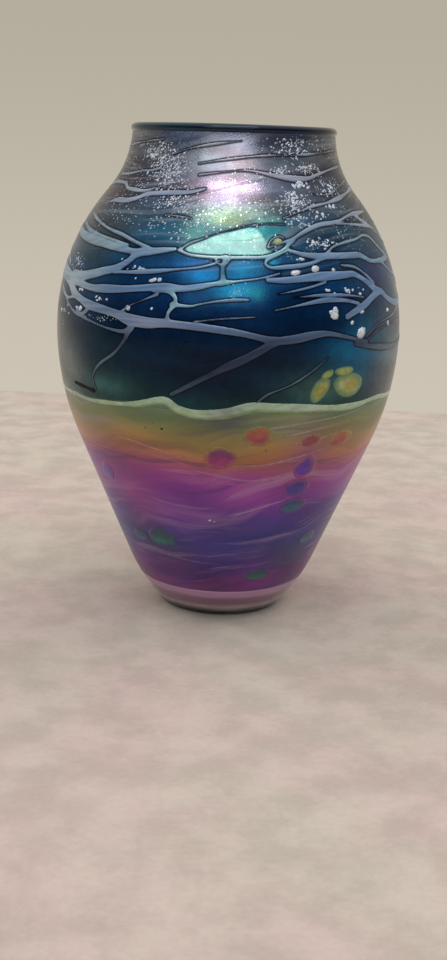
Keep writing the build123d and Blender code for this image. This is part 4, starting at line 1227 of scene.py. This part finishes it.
# Flake patches: azimuth, height, spread across, spread up (degrees, mm), count, size
flake_patches = {
    "neck_flakes_left": [
        (-46, 203, 12, 4, 70, 1.0), (-36, 199, 11, 6, 120, 1.1), (-29, 193, 9, 6, 120, 1.0),
        (-34, 183, 6, 4, 26, 1.0), (-20, 183, 9, 4, 90, 0.9), (-12, 177, 6, 6, 60, 0.8),
        (-2, 178, 12, 5, 60, 0.6),
    ],
    "neck_flakes_right": [
        (27, 185.5, 8, 4, 130, 1.1), (24, 197, 5, 1.4, 26, 1.2), (33, 191.6, 6, 1, 18, 1.3),
        (40, 198, 7, 2, 40, 1.2), (33, 206, 14, 4, 90, 1.1), (50, 190.5, 10, 3, 44, 1.1),
        (10, 184, 8, 5, 50, 0.7), (36, 180, 5, 1, 9, 1.3), (27, 178, 6, 3, 26, 1.1),
        (46, 183.6, 3, 0.6, 6, 1.4), (33, 169.6, 5.6, 1.9, 30, 1.5),
    ],
    "neck_flakes_back": [
        (110, 198, 22, 8, 110, 1.0), (150, 196, 24, 9, 150, 1.0), (205, 192, 24, 9, 150, 1.0),
        (262, 200, 20, 7, 110, 1.0),
    ],
    "cell_flakes_left": [
        (-64, 157.5, 6, 2.4, 26, 1.2), (-44.5, 144.6, 2.4, 1.4, 8, 1.5), (-66, 135, 5, 4, 10, 1.5),
        (-55.6, 139.2, 1.4, 0.6, 3, 2.6), (-24, 154, 1.4, 0.6, 4, 1.9), (-56, 146.8, 1.4, 0.6, 3, 1.7),
        (-32.4, 142.5, 0.3, 0.2, 1, 1.9), (-38.5, 160.8, 0.2, 0.2, 1, 1.8),
        (-31.4, 154, 0.3, 0.2, 1, 1.4), (-24, 143, 0.3, 0.2, 1, 1.3), (-44, 137, 9, 1, 22, 0.7),
        (-30, 158, 6, 0.8, 16, 0.8), (240, 148, 16, 9, 34, 1.2),
    ],
    "cell_flakes_right": [
        (21.6, 158.5, 0.9, 0.3, 3, 3.0), (28.6, 159.6, 0.7, 0.4, 2, 2.8), (23.4, 163.7, 0.9, 0.3, 3, 2.2),
        (34.4, 143.2, 1.6, 1.2, 7, 2.0), (41.5, 138.3, 0.1, 0.1, 1, 2.8), (46.2, 133.8, 0.5, 0.3, 2, 2.6),
        (39.6, 152, 0.2, 0.2, 1, 2.2), (32.4, 151.8, 0.6, 0.3, 2, 1.8), (46.4, 149.4, 0.3, 0.2, 1, 1.8),
        (46.6, 142.2, 0.2, 0.2, 1, 1.9), (36, 159.2, 0.2, 0.2, 1, 1.9), (38, 150.6, 8, 2.4, 12, 1.0),
        (63.4, 141.6, 1, 0.3, 2, 2.0), (62.8, 135.6, 1.4, 1, 4, 1.8), (2, 151, 4, 2.6, 40, 0.5),
        (150, 146, 18, 9, 36, 1.2),
    ],
}

# Patches with dust_count flakes or more are fine dust, of smaller and more numerous flakes
dust_count = 20
dust_share = 0.56
dust_density = 1.7
flake_top = 209.5


def make_flakes():
    """Small uneven flakes lying in the surface, thickest in the middle of each patch."""
    material = flake_material()
    for seed, (name, patches) in enumerate(flake_patches.items()):
        rng = np.random.default_rng(300 + seed)
        parts = []
        for azimuth, z, spread, rise, count, size in patches:
            for _ in range(count if count < dust_count else round(dust_density * count)):
                place = azimuth + spread * np.clip(rng.normal() * 0.55, -1.3, 1.3)
                level = min(z + rise * np.clip(rng.normal() * 0.55, -1.3, 1.3), flake_top)
                width = size * (dust_share if count >= dust_count else 1) * math.exp(rng.normal() * 0.38)
                tall = width * rng.uniform(0.45, 0.9)
                parts.append(disc_points(place, level, width, tall, rng.uniform(-10, 40), 2, 7,
                                         0.06 + 0.05 * width)[:2])
        piece = make_object(name + "_field", *gather(parts))
        finish_piece(piece, material, "dichroic_flake", name)


def make_specks():
    """Black ash specks, a few trapped bubbles, and the small pale lens at the right of the large one."""
    dark = [(-27, 94, 0.8), (-21, 94.2, 1.4), (-24, 96, 0.5), (14, 86.5, 0.8), (26, 88.5, 0.6),
            (150, 96, 0.9), (230, 95, 1.1), (262, 88, 0.7)]
    light = [(-5.5, 52.5, 1.3), (-3.5, 52, 0.9), (-29, 10.8, 0.1), (170, 50, 1.0), (250, 70, 0.8)]
    lens = [(16.4, 170.2, 3.6)]
    for name, places, colour, slot in (("ash_specks", dark, (0.008, 0.008, 0.008), "black_glass"),
                                       ("seed_bubbles", light, (0.65, 0.65, 0.65), "pale_strand_glass"),
                                       ("small_lens", lens, (0.50, 0.60, 0.26), "yellow_green_glass")):
        parts = [disc_points(azimuth, z, size, size * 0.7, 15, 2, 12, 0.1) for azimuth, z, size in places]
        points, faces, _, z, _ = gather(parts)
        piece = make_object(name, points, faces, {"tone": np.tile(colour, (len(z), 1))})
        finish_piece(piece, opal_material(name + "_glass"), slot)


# ---------------------------------------------------------------- stage, lights and camera

def make_stage():
    """Pale covered table, turned a little, whose back edge lies behind the vase."""
    left, right, front, back, thick, edge = -1.6, 1.6, -1.8, 0.48, 0.03, 0.006
    outline = [(back, -thick), (back, -edge), (back - edge * 0.3, -edge * 0.3), (back - edge, 0.0),
               (0.2, 0.0), (-0.2, 0.0), (front, 0.0), (front, -thick)]
    turn = Matrix.Rotation(math.radians(-6.6), 3, "Z")
    points = [turn @ Vector((x, y, z)) / mm for x in (left, right) for y, z in outline]
    count = len(outline)
    faces = [[k, (k + 1) % count, (k + 1) % count + count, k + count] for k in range(count)]
    table = make_object("table", points, faces, smooth=False)
    table.data.materials.append(table_material())


def area_light(name, azimuth, elevation, distance, size, power, colour, reflected=True):
    """Soft panel aimed at the shoulder of the vase."""
    lamp = bpy.data.lights.new(name, "AREA")
    lamp.shape, lamp.size, lamp.size_y = "RECTANGLE", size[0], size[1]
    lamp.energy, lamp.color = power, colour
    holder = bpy.data.objects.new(name, lamp)
    a, e = math.radians(azimuth), math.radians(elevation)
    toward = Vector((math.sin(a) * math.cos(e), -math.cos(a) * math.cos(e), math.sin(e)))
    holder.location = Vector((0, 0, 0.18)) + toward * distance
    holder.rotation_euler = toward.to_track_quat("Z", "Y").to_euler()
    holder.visible_camera = False
    holder.visible_glossy = reflected
    bpy.context.scene.collection.objects.link(holder)


def make_lights():
    """A plain room: warm pale wall behind, cooler and dimmer in front, bright above, and soft panels."""
    world = bpy.data.worlds.new("room")
    world.use_nodes = True
    tree = world.node_tree
    direction = add_node(tree, "ShaderNodeTexCoord").outputs["Generated"]
    split = add_node(tree, "ShaderNodeSeparateXYZ", {0: direction})
    across, up = split.outputs[1], split.outputs[2]
    tone = mix_colour(tree, band_share(tree, up, -0.2, 0.12), (0.60, 0.545, 0.455, 1), (0.46, 0.42, 0.34, 1))
    tone = mix_colour(tree, band_share(tree, across, 0.3, -0.3), tone, (0.11, 0.15, 0.22, 1))
    tone = mix_colour(tree, band_share(tree, up, 0.35, 0.9), tone, (0.9, 0.885, 0.86, 1))
    tree.links.new(tone, tree.nodes["Background"].inputs["Color"])
    bpy.context.scene.world = world
    area_light("ceiling_panel", 2, 67, 1.5, (0.95, 0.2), 3.6, (1.0, 0.97, 0.98))
    area_light("window_glow", -4, 36, 2.2, (2.2, 1.7), 8, (0.97, 0.98, 1.0))
    for name, azimuth in (("left_glow", -118), ("right_glow", 118)):
        area_light(name, azimuth, 35, 1.7, (1.2, 0.8), 7, (1.0, 0.96, 0.92), False)


def make_camera():
    """Held a little below the rim, looking down at the belly, with a slight roll."""
    distance, level, lens = 0.5753, 0.205, 48.0
    pitch, roll = math.radians(14.5), math.radians(1.75)
    data = bpy.data.cameras.new("view")
    data.lens, data.sensor_width = lens, 36.0
    data.clip_start, data.clip_end = 0.01, 50
    camera = bpy.data.objects.new("view", data)
    turn = Matrix.Rotation(math.pi / 2 - pitch, 4, "X") @ Matrix.Rotation(roll, 4, "Z")
    camera.matrix_world = Matrix.Translation((0, -distance, level)) @ turn
    bpy.context.scene.collection.objects.link(camera)
    bpy.context.scene.camera = camera


make_skins()
make_core()
make_foot()
make_lip()
make_web()
make_ribbon()
make_strands()
make_slices()
make_petals()
make_furrow_shadow()
make_flakes()
make_specks()
make_stage()
make_lights()
make_camera()
bpy.context.scene.view_settings.view_transform = "Standard"
